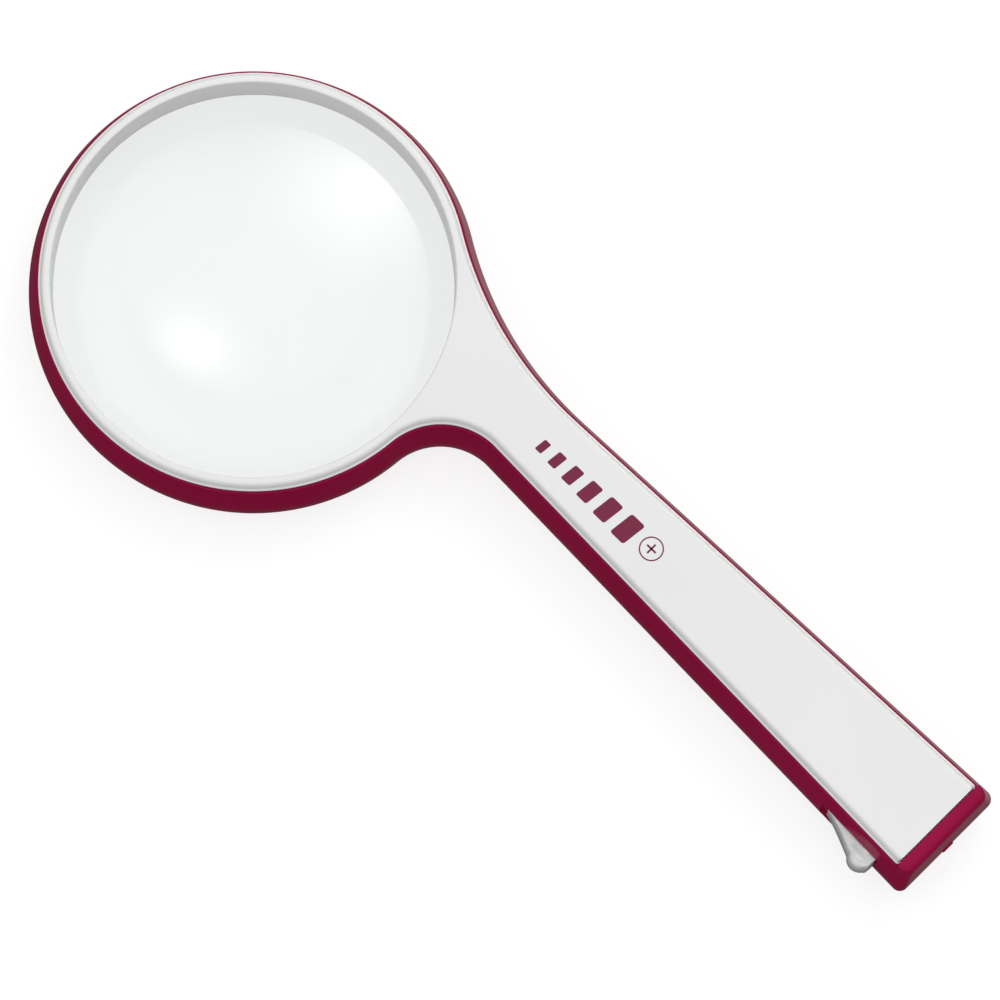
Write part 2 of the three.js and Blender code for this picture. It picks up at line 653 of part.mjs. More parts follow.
function contactSpring() {
  const steps = SPRING_TURNS * 10;
  const rise = SPRING_LENGTH - 2 * SPRING_WIRE_R;
  const points = Array.from({ length: steps + 1 }, (_, i) => {
    const t = i / steps;
    const angle = t * SPRING_TURNS * 2 * Math.PI;
    const r = SPRING_TIP_R + (SPRING_R - SPRING_TIP_R) * t;
    return new THREE.Vector3(r * Math.cos(angle), r * Math.sin(angle), SPRING_WIRE_R + rise * t);
  });
  return alongCells(wireGeometry(points, SPRING_WIRE_R - SEAT_GAP, steps, 6), SPRING_X);
}

function batteryTray() {
  const bottom = FLOOR + TRAY_FOOT_GAP;
  const hollowX = [TRAY_X + TRAY_WALL, TRAY_END_X - TRAY_WALL];
  const throughR = WIRE_R + LEVER_GAP;
  const through = new THREE.CylinderGeometry(throughR, throughR, TRAY_END_X, SMALL_ROUND / 2);
  through.rotateZ(Math.PI / 2);
  through.translate((TRAY_X + TRAY_END_X) / 2, HANDLE_Y, CELL_Z);
  const far = TRAY_END_X + CUT;
  const doorHalf = DOOR_HALF + DOOR_FLANGE + CUT;
  return handleBlock([TRAY_X, TRAY_END_X], TRAY_HALF, [bottom, TRAY_TOP])
    .subtract(handleBlock(hollowX, TRAY_INNER, [bottom - CUT, TRAY_INNER_TOP]))
    .subtract(handleBlock([DOOR_SLOT_X, far], doorHalf, [0, DECK_Z + SEAT_GAP]))
    .subtract(handleBlock([DECK_X - SKIRT_GAP, far], DECK_HALF, [0, DECK_TOP + TRAY_FOOT_GAP]))
    .subtract(solidOf(through));
}

// ---------------------------------------------------------------- battery door

function batteryDoor() {
  const start = DOOR_SLOT_X + DOOR_END_GAP;
  const far = BUTT_X + CUT;
  const tabInner = BUTT_X - BUTT_WALL;
  const flangeTop = DOOR_FLANGE_Z + DOOR_FLANGE_THICKNESS;
  const plate = handleBlock([start, far], DOOR_HALF, [-CUT, DOOR_THICKNESS])
    .add(handleBlock([start, far], DOOR_HALF + DOOR_FLANGE, [DOOR_FLANGE_Z, flangeTop]))
    .add(handleBlock([tabInner, far], DOOR_HALF, [0, DOOR_TAB_TOP]));
  const nibTop = DOOR_TAB_TOP - DOOR_GAP;
  const nibHeights = [nibTop - DOOR_NIB_HEIGHT, nibTop];
  let door = rearOuter()
    .intersect(plate)
    .add(handleBlock([tabInner + CUT, BUTT_X + DOOR_NIB], DOOR_NIB_HALF, nibHeights));
  for (let i = 0; i < GRIP_COUNT; i++) {
    const x = GRIP_X + i * GRIP_PITCH;
    door = door.subtract(handleBlock([x, x + GRIP_WIDTH], GRIP_HALF, [-CUT, GRIP_DEPTH]));
  }
  return door;
}

// ---------------------------------------------------------------- switch

// Tear-drop plan of the thumb piece: a ramp from the lens end up to a blunt round at the butt end.
function thumbPlan() {
  const back = POCKET_DEPTH - THUMB_GAP;
  const roundX = THUMB_BUTT_END - THUMB_ROUND_R;
  const roundY = THUMB_ROUND_R - THUMB_PROUD;
  const meetX = roundX + THUMB_ROUND_R * Math.cos(THUMB_MEET_ANGLE);
  const meetY = roundY + THUMB_ROUND_R * Math.sin(THUMB_MEET_ANGLE);
  const plan = new THREE.Shape();
  plan.moveTo(THUMB_LENS_END, back);
  plan.lineTo(THUMB_LENS_END, back - THUMB_GAP);
  plan.quadraticCurveTo(THUMB_LENS_END / 2, -THUMB_GAP, meetX, meetY);
  plan.absarc(roundX, roundY, THUMB_ROUND_R, THUMB_MEET_ANGLE, 2 * Math.PI, false);
  plan.lineTo(THUMB_BUTT_END, back);
  plan.closePath();
  return plan;
}

function thumbPiece() {
  const depth = 2 * THUMB_HALF_HEIGHT;
  const head = new THREE.ExtrudeGeometry(thumbPlan(), { depth, curveSegments: 6, bevelEnabled: false });
  head.translate(0, 0, -THUMB_HALF_HEIGHT);
  const back = POCKET_DEPTH - THUMB_GAP;
  const forkEnd = STEM_END_Y + FORK_DEPTH;
  const across = [-STEM_HALF_HEIGHT, STEM_HALF_HEIGHT];
  const stem = block([STEM_X - STEM_HALF, STEM_X + STEM_HALF], [back - 2 * THUMB_GAP, forkEnd], across);
  const notchHalf = LEVER_HALF + LEVER_GAP;
  const throughZ = [-THUMB_HALF_HEIGHT, THUMB_HALF_HEIGHT];
  const notch = block([STEM_X - notchHalf, STEM_X + notchHalf], [STEM_END_Y, forkEnd + CUT], throughZ);
  return solidOf(head).add(stem.subtract(notch));
}

const LEVER_BOTTOM_Y = HOUSING_Y + LEVER_SLOT_DEPTH - LEVER_GAP;

function switchLever() {
  return block(
    [STEM_X - LEVER_HALF, STEM_X + LEVER_HALF], [STEM_END_Y + LEVER_GAP, LEVER_BOTTOM_Y],
    [-LEVER_HALF_HEIGHT, LEVER_HALF_HEIGHT],
  );
}

function switchHousing() {
  const slotX = [STEM_X - LEVER_HALF - SWITCH_TRAVEL - LEVER_GAP, STEM_X + LEVER_HALF + LEVER_GAP];
  const slotHalf = LEVER_HALF_HEIGHT + LEVER_GAP;
  return block(HOUSING_X, [HOUSING_Y, HOUSING_BACK], [-HOUSING_HALF_HEIGHT, HOUSING_HALF_HEIGHT])
    .subtract(block(slotX, [HOUSING_Y - CUT, HOUSING_Y + LEVER_SLOT_DEPTH], [-slotHalf, slotHalf]));
}

function switchBoard() {
  return block(SWITCH_BOARD_X, SWITCH_BOARD_Y, [-SWITCH_BOARD_HALF_HEIGHT, SWITCH_BOARD_HALF_HEIGHT]);
}

// ---------------------------------------------------------------- wires and screws

function wireGeometry(points, radius, steps, sides) {
  const section = new THREE.Shape(
    Array.from({ length: sides }, (_, i) => {
      const angle = (i / sides) * 2 * Math.PI;
      return new THREE.Vector2(radius * Math.cos(angle), radius * Math.sin(angle));
    }),
  );
  const path = new THREE.CatmullRomCurve3(points);
  return new THREE.ExtrudeGeometry(section, { steps, extrudePath: path, bevelEnabled: false });
}

// Middle of the gap between the tray and the lower side wall.
function channelY(x) {
  const wall = HANDLE_Y - halfWidth(x) - FLARE + WALL;
  return (wall + HANDLE_Y - TRAY_HALF) / 2;
}

const WIRE_START_X = LAMP_BOARD_X + LAMP_BOARD_LENGTH / 2 - POST_INSET;
const WIRE_START_Z = LAMP_BOARD_Z + BOARD_THICKNESS + WIRE_R + END_GAP;

const PAD_X = WIRE_START_X - PAD_INSET;
const FIRST_BEND_X = WIRE_START_X + PAD_LEAD;
const CHANNEL_MID_X = (TRAY_X + TRAY_END_X) / 2;
const CHANNEL_XS = [TRAY_X + CHANNEL_START, CHANNEL_MID_X, TRAY_END_X - CHANNEL_END];
const TRAY_BACK_X = TRAY_END_X - TRAY_WALL + END_GAP / 2;
const SWITCH_BOARD_BACK = SWITCH_Y + SWITCH_BOARD_Y[1] + WIRE_R + END_GAP;
const TERMINAL = new THREE.Vector2(HOUSING_X[0] - LEVER_GAP, HOUSING_Y + TERMINAL_Y)
  .rotateAround(new THREE.Vector2(), -TAPER_ANGLE)
  .add(new THREE.Vector2(SWITCH_X, SWITCH_Y));

const WIRES = [
  {
    name: 'wire_cell_to_lamp', material: WIRE_RED, steps: 14,
    points: [
      [PAD_X, HANDLE_Y + CELL_PAD_Y, WIRE_START_Z],
      [FIRST_BEND_X, HANDLE_Y + WIRE_SIDESTEP, WIRE_START_Z + WIRE_SIDESTEP],
      [SCREW_NECK_X, HANDLE_Y, CELL_Z], [CONTACT_FRONT_X - END_GAP, HANDLE_Y, CELL_Z],
    ],
  },
  {
    name: 'wire_switch_to_lamp', material: WIRE_WHITE, steps: 40,
    points: [
      [PAD_X, HANDLE_Y - SWITCH_PAD_Y, WIRE_START_Z],
      [FIRST_BEND_X, HANDLE_Y - SWITCH_PAD_Y - PAD_INSET, WIRE_START_Z + WIRE_SIDESTEP],
      [SCREW_NECK_X, channelY(SCREW_NECK_X) + WIRE_SIDESTEP / 3, FLARE_Z],
      ...CHANNEL_XS.map((x) => [x, channelY(x), FLARE_Z]),
      [TRAY_END_X - TRAY_WALL, channelY(TRAY_END_X) + WIRE_SIDESTEP, FLARE_Z],
      [TERMINAL.x, TERMINAL.y, FLARE_Z],
    ],
  },
  {
    name: 'wire_cell_to_switch', material: WIRE_BLACK, steps: 10,
    points: [
      [TRAY_BACK_X, HANDLE_Y, CELL_Z],
      ...SHORT_LEAD_BENDS.map(([x, y, z]) => [TRAY_END_X + x, HANDLE_Y - y, CELL_Z + z]),
      [SWITCH_X + STEM_X, SWITCH_BOARD_BACK, CELL_Z + SHORT_LEAD_END],
    ],
  },
];

function screw({ seat }) {
  const tip = seat + SCREW_LENGTH;
  const headZ = seat - SCREW_HEAD;
  return [
    [0, headZ], [SCREW_HEAD_R - SCREW_HEAD_CHAMFER, headZ], [SCREW_HEAD_R, headZ + SCREW_HEAD_CHAMFER],
    [SCREW_HEAD_R, seat], [SCREW_SHANK_R, seat], [SCREW_SHANK_R, tip - SCREW_POINT], [0, tip],
  ];
}

// ---------------------------------------------------------------- assembly

function named(name, geometry, material) {
  const mesh = new THREE.Mesh(geometry, material);
  mesh.name = name;
  return mesh;
}

const magnifier = new THREE.Group();

// The model's origin is the middle of its footprint on the back plane.
magnifier.position.x = -(BUTT_X + DOOR_NIB - RING_R - FLARE) / 2;

magnifier.add(
  named('front_shell', geometryOf(frontShell()), WHITE_PLASTIC),
  named('rear_shell', geometryOf(rearShell()), WINE_PLASTIC),
  named('lens', geometryOf(lens()), CLEAR_PLASTIC),
  named('lens_retainer', geometryOf(lensRetainer()), WHITE_PLASTIC),
  named('light_window', geometryOf(lightWindow()), CLEAR_PLASTIC),
  named('lamp_board', geometryOf(lampBoard()), BOARD_GREEN),
  named('lamp_diode', geometryOf(lampDiode()), DIODE_CERAMIC),
  named('lamp_resistor', geometryOf(lampResistor()), BLACK_PLASTIC),
  named('battery_tray', geometryOf(batteryTray()), BLACK_PLASTIC),
  named('contact_positive', geometryOf(contactPlate(CONTACT_FRONT_X)), NICKEL),
  named('contact_negative', geometryOf(contactPlate(CONTACT_BACK_X)), NICKEL),
  named('contact_spring', contactSpring(), NICKEL),
  named('battery_door', geometryOf(batteryDoor()), WINE_PLASTIC),
);
CELL_XS.forEach((x, i) => magnifier.add(named(`battery_${i + 1}`, cell(x), CELL_JACKET)));
SCREWS.forEach((place, i) => {
  const geometry = turned(screw(place), place.x, place.y, SMALL_ROUND - 4);
  magnifier.add(named(`screw_${i + 1}`, geometry, STEEL));
});
for (const { name, material, points, steps } of WIRES) {
  const path = points.map((point) => new THREE.Vector3(...point));
  magnifier.add(named(name, wireGeometry(path, WIRE_R, steps, WIRE_SIDES), material));
}

const slideSwitch = new THREE.Group();
slideSwitch.position.set(SWITCH_X, SWITCH_Y, FLARE_Z);
slideSwitch.rotation.z = -TAPER_ANGLE;
slideSwitch.add(
  named('switch_thumb_piece', geometryOf(thumbPiece()), SILVER_PLATE),
  named('switch_lever', geometryOf(switchLever()), BLACK_PLASTIC),
  named('switch_housing', geometryOf(switchHousing()), STEEL),
  named('switch_board', geometryOf(switchBoard()), BOARD_GREEN),
);
magnifier.add(slideSwitch);

export default magnifier;
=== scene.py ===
import math

import bmesh
import bpy
from mathutils import Matrix, Vector


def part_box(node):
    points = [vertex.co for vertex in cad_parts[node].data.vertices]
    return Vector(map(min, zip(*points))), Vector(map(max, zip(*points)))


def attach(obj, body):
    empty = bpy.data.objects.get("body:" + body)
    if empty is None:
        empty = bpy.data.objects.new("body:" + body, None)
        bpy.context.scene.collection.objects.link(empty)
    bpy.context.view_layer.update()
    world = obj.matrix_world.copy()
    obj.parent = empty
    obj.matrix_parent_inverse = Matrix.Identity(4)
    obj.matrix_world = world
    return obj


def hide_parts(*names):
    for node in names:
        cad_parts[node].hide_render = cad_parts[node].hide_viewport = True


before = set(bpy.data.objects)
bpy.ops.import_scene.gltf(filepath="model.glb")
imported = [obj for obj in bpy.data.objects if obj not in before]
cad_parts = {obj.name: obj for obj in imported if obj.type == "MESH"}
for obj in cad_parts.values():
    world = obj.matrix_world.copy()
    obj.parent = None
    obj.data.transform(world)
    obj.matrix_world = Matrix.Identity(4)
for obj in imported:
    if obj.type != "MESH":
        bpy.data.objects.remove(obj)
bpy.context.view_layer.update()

# ---------------------------------------------------------------------------------------------- rear shell
# The lower half of the housing, moulded in one shot of wine red ABS with a polished outside. Its side wall
# bulges past the white face, its rim stops a shadow gap below it, and at the butt it rises level with it.
# Openings are left for the lens tube, the lamp window, the battery door, the switch and three screws.

MM = 0.001
lens_low, lens_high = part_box("lens")
LENS_AXIS_X = (lens_low.x + lens_high.x) / 2
LENS_AXIS_Y = (lens_low.y + lens_high.y) / 2

RING_R = 44.5
HANDLE_Y = 18.2
NECK_X = 66
NECK_HALF = 7.8
TAPER = 0.0325
TAPER_ANGLE = math.atan(TAPER)
FACE_Z = 20
FACE_END_X = 180
FACE_CORNER_R = 0.6
SWEEP_R = 82
NECK_R = 15.7
FLARE = 2.3
FLARE_Z = 9
BACK_ROUND = 3.6
BUTT_X = 183.9
BUTT_CORNER_R = 1.8
BUTT_TOP_Z = 19.8
BUTT_TOP_ROUND = 0.8
BUTT_END_ROUND = 2.4
BUTT_WALL = 2.2
RIM_Z = 17.5
RIM_STEP = 0.5
RIM_ROUND = 0.25
FLOOR_Z = 2.4
TUBE_R = 43.9
TUBE_END_Z = 2.0
OPENING_R = 42.8
WINDOW_X = 48.8
WINDOW_HOLE_R = 3.15
DOOR_START_X = 70.9
DOOR_HALF = 6.3
DOOR_RAIL_HALF = 7.2
DOOR_RAIL_Z = 1.05
DECK_Z = 3.9
DECK_X = 164
DECK_HALF = 9
DOOR_TAB_Z = 9.6
SWITCH_X = 168
SWITCH_Y = HANDLE_Y - (NECK_HALF + TAPER * (SWITCH_X - NECK_X)) - FLARE / math.cos(TAPER_ANGLE)
POCKET = ((-8.1, 8.0), (-4.0, 1.1), (-4.0, 4.0))
STEM_SLOT = ((0.05, 4.95), (0.5, 4.8), (-1.25, 1.25))
SCREW_PLACES = ((64.5, 14.3, 2.2), (64.5, 22.1, 2.2), (175, 18.2, 4.0))
SCREW_HOLE_R = 1.8
BOSS_BORE_R = 1.0
BOSS_R = 2.4
BOSS_TOP_Z = 8.8
LAMP_POST_R = 1.1
LAMP_POST_TOP_Z = 5.2
LAMP_POSTS = [(50.3 + sx * 4.9, 18.2 + sy * 4.0) for sx in (-1, 1) for sy in (-1, 1)]
CAVITY_CORNER_R = 1.0
POCKET_EDGE_R = 0.25
FACE_END_GAP = 0.15


def at(x, y, z):
    """A point in metres, from millimetres measured at the lens axis and the back plane."""
    return Vector((LENS_AXIS_X + x * MM, LENS_AXIS_Y + y * MM, z * MM))


def by_switch(x, y, z):
    """The same for the switch: x along the side wall toward the butt, y inward, z from the widest line."""
    cos, sin = math.cos(TAPER_ANGLE), math.sin(TAPER_ANGLE)
    return at(SWITCH_X + x * cos + y * sin, SWITCH_Y - x * sin + y * cos, FLARE_Z + z)


def keep(name, mesh):
    """Links a finished bmesh into the scene as an object."""
    data = bpy.data.meshes.new(name)
    mesh.to_mesh(data)
    mesh.free()
    body = bpy.data.objects.new(name, data)
    bpy.context.scene.collection.objects.link(body)
    return body


def skin(name, rings, place=at, loop=False):
    """A closed skin through rings of points. A ring of one point is a pole; other open ends get a cap."""
    mesh = bmesh.new()
    rows = [[mesh.verts.new(place(*point)) for point in ring] for ring in rings]
    pairs = list(zip(rows, rows[1:]))
    if loop:
        pairs.append((rows[-1], rows[0]))
    for low, high in pairs:
        count = max(len(low), len(high))
        for i in range(count):
            j = (i + 1) % count
            if len(low) == 1:
                mesh.faces.new((low[0], high[j], high[i]))
            elif len(high) == 1:
                mesh.faces.new((low[i], low[j], high[0]))
            else:
                mesh.faces.new((low[i], low[j], high[j], high[i]))
    if not loop:
        for end in (rows[0], rows[-1]):
            if len(end) > 2:
                mesh.faces.new(end)
    bmesh.ops.recalc_face_normals(mesh, faces=mesh.faces)
    return keep(name, mesh)


def bend(x, y, r, start, end, steps):
    """Points on an arc about (x, y)."""
    angles = [start + (end - start) * i / steps for i in range(steps + 1)]
    return [(x + r * math.cos(a), y + r * math.sin(a)) for a in angles]


def turned(name, profile, x=0, y=0, steps=48, loop=False):
    """A lathe body about the vertical line through (x, y). Profile points are (radius, height)."""
    rings = []
    for r, z in profile:
        if r == 0:
            rings.append([(x, y, z)])
        else:
            rings.append([(px, py, z) for px, py in bend(x, y, r, 0, 2 * math.pi, steps)[:-1]])
    return skin(name, rings, loop=loop)


def bar(name, xs, ys, zs, place=at):
    """A straight-sided block given by its limits."""
    floor = [(x, y) for x, y in ((xs[0], ys[0]), (xs[1], ys[0]), (xs[1], ys[1]), (xs[0], ys[1]))]
    return skin(name, [[(x, y, z) for x, y in floor] for z in zs], place)


def rail(name, section, x0, x1):
    """A (y, z) section, y from the handle's middle line, run along the handle from x0 to x1."""
    return skin(name, [[(x, HANDLE_Y + y, z) for y, z in section] for x in (x0, x1)])


def carve(body, *tools, how="DIFFERENCE"):
    """Cuts, joins or intersects body with each tool in turn, and uses the tools up."""
    for tool in tools:
        step = body.modifiers.new("carve", "BOOLEAN")
        step.operation, step.solver, step.object = how, "EXACT", tool
    bpy.context.view_layer.update()
    made = bpy.data.meshes.new_from_object(body.evaluated_get(bpy.context.evaluated_depsgraph_get()))
    body.modifiers.clear()
    body.data = made
    for tool in tools:
        bpy.data.objects.remove(tool)
    return body


def smoothed(body, crease=28):
    """Welds stray points and shades smooth, with hard edges where the surface turns by more than crease."""
    mesh = bmesh.new()
    mesh.from_mesh(body.data)
    bmesh.ops.remove_doubles(mesh, verts=mesh.verts, dist=2e-6)
    bmesh.ops.dissolve_degenerate(mesh, dist=1e-6, edges=mesh.edges)
    for face in mesh.faces:
        face.smooth = True
    mesh.to_mesh(body.data)
    mesh.free()
    body.data.set_sharp_from_angle(angle=math.radians(crease))
    return body


def with_parts(body, *parts):
    """Adds separate lumps, such as bosses, to a body's mesh."""
    mesh = bmesh.new()
    mesh.from_mesh(body.data)
    for part in parts:
        smoothed(part)
        mesh.from_mesh(part.data)
        bpy.data.objects.remove(part)
    mesh.to_mesh(body.data)
    mesh.free()
    return body


def handle_side(sign):
    """A point on one straight edge of the handle, its direction and its outward normal."""
    normal = Vector((-TAPER, sign)).normalized()
    along = Vector((1, sign * TAPER)).normalized()
    return Vector((NECK_X, HANDLE_Y + sign * NECK_HALF)), along, normal


def sweep_centre(sign, radius):
    """Centre of the hollow sweep that touches the ring and one straight edge."""
    point, along, normal = handle_side(sign)
    start = point + normal * radius
    b = start.dot(along)
    reach = RING_R + radius
    return start + along * (math.sqrt(b * b - start.length_squared + reach * reach) - b)


def outline(offset, end_x, corner_r):
    """The face's outline moved outward by offset, with its own end and end corners, anticlockwise."""
    upper, lower = sweep_centre(1, SWEEP_R), sweep_centre(-1, NECK_R)
    upper_angle = math.atan2(upper.y, upper.x)
    lower_angle = math.atan2(lower.y, lower.x) + 2 * math.pi
    turn = math.pi / 2 + TAPER_ANGLE
    corners = []
    for sign in (-1, 1):
        point, along, normal = handle_side(sign)
        point = point + normal * (offset - corner_r)
        x = end_x - corner_r
        corners.append((x, point.y + (x - point.x) * along.y / along.x))
    lower_sweep = bend(*lower, NECK_R - offset, lower_angle - math.pi, turn, 26)
    lower_corner = bend(*corners[0], corner_r, -turn, 0, 10)
    upper_corner = bend(*corners[1], corner_r, 0, turn, 10)
    upper_sweep = bend(*upper, SWEEP_R - offset, turn - math.pi, upper_angle - math.pi, 44)

    def straight(a, b, count=13):
        shares = [(i + 1) / (count + 1) for i in range(count)]
        return [(a[0] + (b[0] - a[0]) * s, a[1] + (b[1] - a[1]) * s) for s in shares]

    return [
        *bend(0, 0, RING_R + offset, upper_angle, lower_angle, 150),
        *lower_sweep[1:],
        *straight(lower_sweep[-1], lower_corner[0]),
        *lower_corner,
        *upper_corner,
        *straight(upper_corner[-1], upper_sweep[0]),
        *upper_sweep[:-1],
    ]


def level(z, offset, end_x, corner_r):
    """The outline as a ring of points at one height."""
    return [(x, y, z) for x, y in outline(offset, end_x, corner_r)]


def outer_skin(name):
    """The whole outside of the wine red half, from the back plane to the top of the butt."""
    sides = [(0, FLARE - BACK_ROUND - 0.15)]
    for i in range(15):
        angle = (1 - i / 14) * math.pi / 2
        sides.append((FLARE_Z * (1 - math.sin(angle)), FLARE - BACK_ROUND * (1 - math.cos(angle))))
    blend = 0.3
    for i in range(1, 11):
        t = i / 10
        eased_t = (t * t / (2 * blend) if t < blend else t - blend / 2) / (1 - blend / 2)
        sides.append((FLARE_Z + (RIM_Z - FLARE_Z) * t, FLARE - (FLARE - RIM_STEP) * eased_t))
    rings = []
    for z, side in sides:
        past = side - FLARE if z < FLARE_Z else -RIM_STEP * (z - FLARE_Z) / (RIM_Z - FLARE_Z)
        rings.append(level(z, side, BUTT_X + past, BUTT_CORNER_R))
    for i in range(1, 15):
        angle = i / 14 * math.pi / 2
        z = RIM_Z + (BUTT_TOP_Z - RIM_Z) * math.sin(angle)
        share = min(1, max(0, 1 - (BUTT_TOP_Z - z) / BUTT_TOP_ROUND))
        side = RIM_STEP - BUTT_TOP_ROUND * (1 - math.sqrt(1 - share ** 2))
        past = -RIM_STEP - BUTT_END_ROUND * (1 - math.cos(angle))
        rings.append(level(z, side, BUTT_X + past, BUTT_CORNER_R))
    return skin(name, rings)


def face_recess():
    """Takes away what stands above the rim, and rounds the rim's outer edge."""
    steps = [(RIM_STEP - RIM_ROUND + RIM_ROUND * math.sin(a), RIM_Z - RIM_ROUND + RIM_ROUND * math.cos(a))
             for a in (i / 5 * math.pi / 3 for i in range(6))]
    run, outside = 0.35, 1.4
    last_side, last_z = steps[-1]
    steps.append((last_side + run * math.cos(math.pi / 3), last_z - run * math.sin(math.pi / 3)))
    steps.append((outside, steps[-1][1]))
    steps.append((outside, FACE_Z + 1))
    return skin("face_recess", [
        level(z, side, FACE_END_X + FACE_END_GAP + 0.02 * (side - RIM_STEP), FACE_CORNER_R)
        for side, z in steps
    ])


def cavity():
    """The hollow inside, which follows the bulge of the side wall."""
    levels = [(FLOOR_Z, -1.0), (4.0, -0.2), (6.0, 0.25), (FLARE_Z, 0.4), (RIM_Z + 0.3, -0.4)]
    return skin("cavity", [level(z, side, BUTT_X - BUTT_WALL, CAVITY_CORNER_R) for z, side in levels])


def rounded_block(name, limits, radius, place):
    """A block with rounded edges, for a moulded recess."""
    body = bar(name, *limits, place=place)
    mesh = bmesh.new()
    mesh.from_mesh(body.data)
    bmesh.ops.bevel(mesh, geom=mesh.edges[:], offset=radius * MM, segments=4, profile=0.5, affect="EDGES")
    mesh.to_mesh(body.data)
    mesh.free()
    return body


def screw_boss(x, y, seat, foot):
    """A boss on the floor, with a wider bore below its seat for the screw's head."""
    return turned("boss", [
        (BOSS_BORE_R, seat + 0.1), (SCREW_HOLE_R, seat + 0.1), (SCREW_HOLE_R, foot), (BOSS_R, foot),
        (BOSS_R, BOSS_TOP_Z), (BOSS_BORE_R, BOSS_TOP_Z),
    ], x, y, 32, loop=True)


rear_shell = carve(
    outer_skin("rear_shell_moulding"),
    face_recess(),
    cavity(),
    turned("tube_clearance", [
        (0, -1), (OPENING_R, -1), (OPENING_R, TUBE_END_Z - 0.1), (TUBE_R + 0.2, TUBE_END_Z - 0.1),
        (TUBE_R + 0.2, FACE_Z + 1), (0, FACE_Z + 1),
    ], steps=160),
    rail("door_slot", [
        (-DOOR_HALF, -1), (DOOR_HALF, -1), (DOOR_HALF, DOOR_RAIL_Z), (DOOR_RAIL_HALF, DOOR_RAIL_Z),
        (DOOR_RAIL_HALF, FLOOR_Z + 0.02), (-DOOR_RAIL_HALF, FLOOR_Z + 0.02), (-DOOR_RAIL_HALF, DOOR_RAIL_Z),
        (-DOOR_HALF, DOOR_RAIL_Z),
    ], DOOR_START_X, BUTT_X + 1),
    bar("tab_slot", (BUTT_X - BUTT_WALL - 0.2, BUTT_X + 1), (HANDLE_Y - DOOR_HALF, HANDLE_Y + DOOR_HALF),
        (-1, DOOR_TAB_Z)),
    rounded_block("switch_pocket", POCKET, POCKET_EDGE_R, by_switch),
    bar("stem_slot", *STEM_SLOT, place=by_switch),
    turned("window_hole", [(0, -1), (WINDOW_HOLE_R, -1), (WINDOW_HOLE_R, FLOOR_Z + 1), (0, FLOOR_Z + 1)],
           WINDOW_X, HANDLE_Y, 40),
    *[turned("screw_hole", [(0, -1), (SCREW_HOLE_R, -1), (SCREW_HOLE_R, FLOOR_Z + 1), (0, FLOOR_Z + 1)],
             x, y, 32) for x, y, seat in SCREW_PLACES[:2]],
)
smoothed(rear_shell)
with_parts(
    rear_shell,
    *[screw_boss(x, y, seat, 2.35) for x, y, seat in SCREW_PLACES[:2]],
    screw_boss(*SCREW_PLACES[2], 2.45),
    *[turned("post", [(0, FLOOR_Z - 0.1), (LAMP_POST_R, FLOOR_Z - 0.1), (LAMP_POST_R, LAMP_POST_TOP_Z),
                      (0, LAMP_POST_TOP_Z)], x, y, 20) for x, y in LAMP_POSTS],
)
deck = bar("deck", (DECK_X, BUTT_X - BUTT_WALL + 0.1), (HANDLE_Y - DECK_HALF, HANDLE_Y + DECK_HALF),
           (FLOOR_Z, DECK_Z))
deck_x, deck_y, _ = SCREW_PLACES[2]
carve(deck, turned("deck_hole", [(0, 0), (SCREW_HOLE_R, 0), (SCREW_HOLE_R, 6), (0, 6)], deck_x, deck_y, 32))
with_parts(rear_shell, deck)


def node_in(tree, kind, **settings):
    """Adds a node; each setting is an attribute of the node or the value of one of its inputs."""
    made = tree.nodes.new(kind)
    for label, value in settings.items():
        socket = made.inputs.get(label.replace("_", " ").title()) if not hasattr(made, label) else None
        if socket is not None:
            socket.default_value = value
        else:
            setattr(made, label, value)
    return made


def shader_group(name, inputs, outputs):
    """An empty shader node group with named sockets, and its two end nodes."""
    tree = bpy.data.node_groups.new(name, "ShaderNodeTree")
    for label, kind, value in inputs:
        socket = tree.interface.new_socket(label, in_out="INPUT", socket_type="NodeSocket" + kind)
        if value is not None:
            socket.default_value = value
    for label, kind in outputs:
        tree.interface.new_socket(label, in_out="OUTPUT", socket_type="NodeSocket" + kind)
    return tree, tree.nodes.new("NodeGroupInput"), tree.nodes.new("NodeGroupOutput")


def noise(tree, vector, scale, detail=3.0, rough=0.5):
    """A noise texture's grey output."""
    made = node_in(tree, "ShaderNodeTexNoise", scale=scale, detail=detail, roughness=rough)
    tree.links.new(vector, made.inputs["Vector"])
    return made.outputs["Fac"]


def spread(tree, value, low, high, to_low=0.0, to_high=1.0):
    """Maps low..high onto to_low..to_high, held at the ends."""
    made = node_in(tree, "ShaderNodeMapRange")
    for label, number in (("From Min", low), ("From Max", high), ("To Min", to_low), ("To Max", to_high)):
        made.inputs[label].default_value = number
    tree.links.new(value, made.inputs["Value"])
    return made.outputs["Result"]


def reckon(tree, how, a, b=None):
    """A math node on sockets or plain numbers."""
    made = node_in(tree, "ShaderNodeMath", operation=how)
    for i, term in enumerate((a, b)):
        if term is None:
            continue
        if isinstance(term, (int, float)):
            made.inputs[i].default_value = term
        else:
            tree.links.new(term, made.inputs[i])
    return made.outputs[0]


def tint(tree, share, low, high):
    """Mixes two colours by a share; each colour is a tuple or a socket."""
    made = node_in(tree, "ShaderNodeMix", data_type="RGBA")
    tree.links.new(share, made.inputs["Factor"])
    for socket, colour in ((made.inputs[6], low), (made.inputs[7], high)):
        if isinstance(colour, tuple):
            socket.default_value = (*colour, 1)
        else:
            tree.links.new(colour, socket)
    return made.outputs[2]


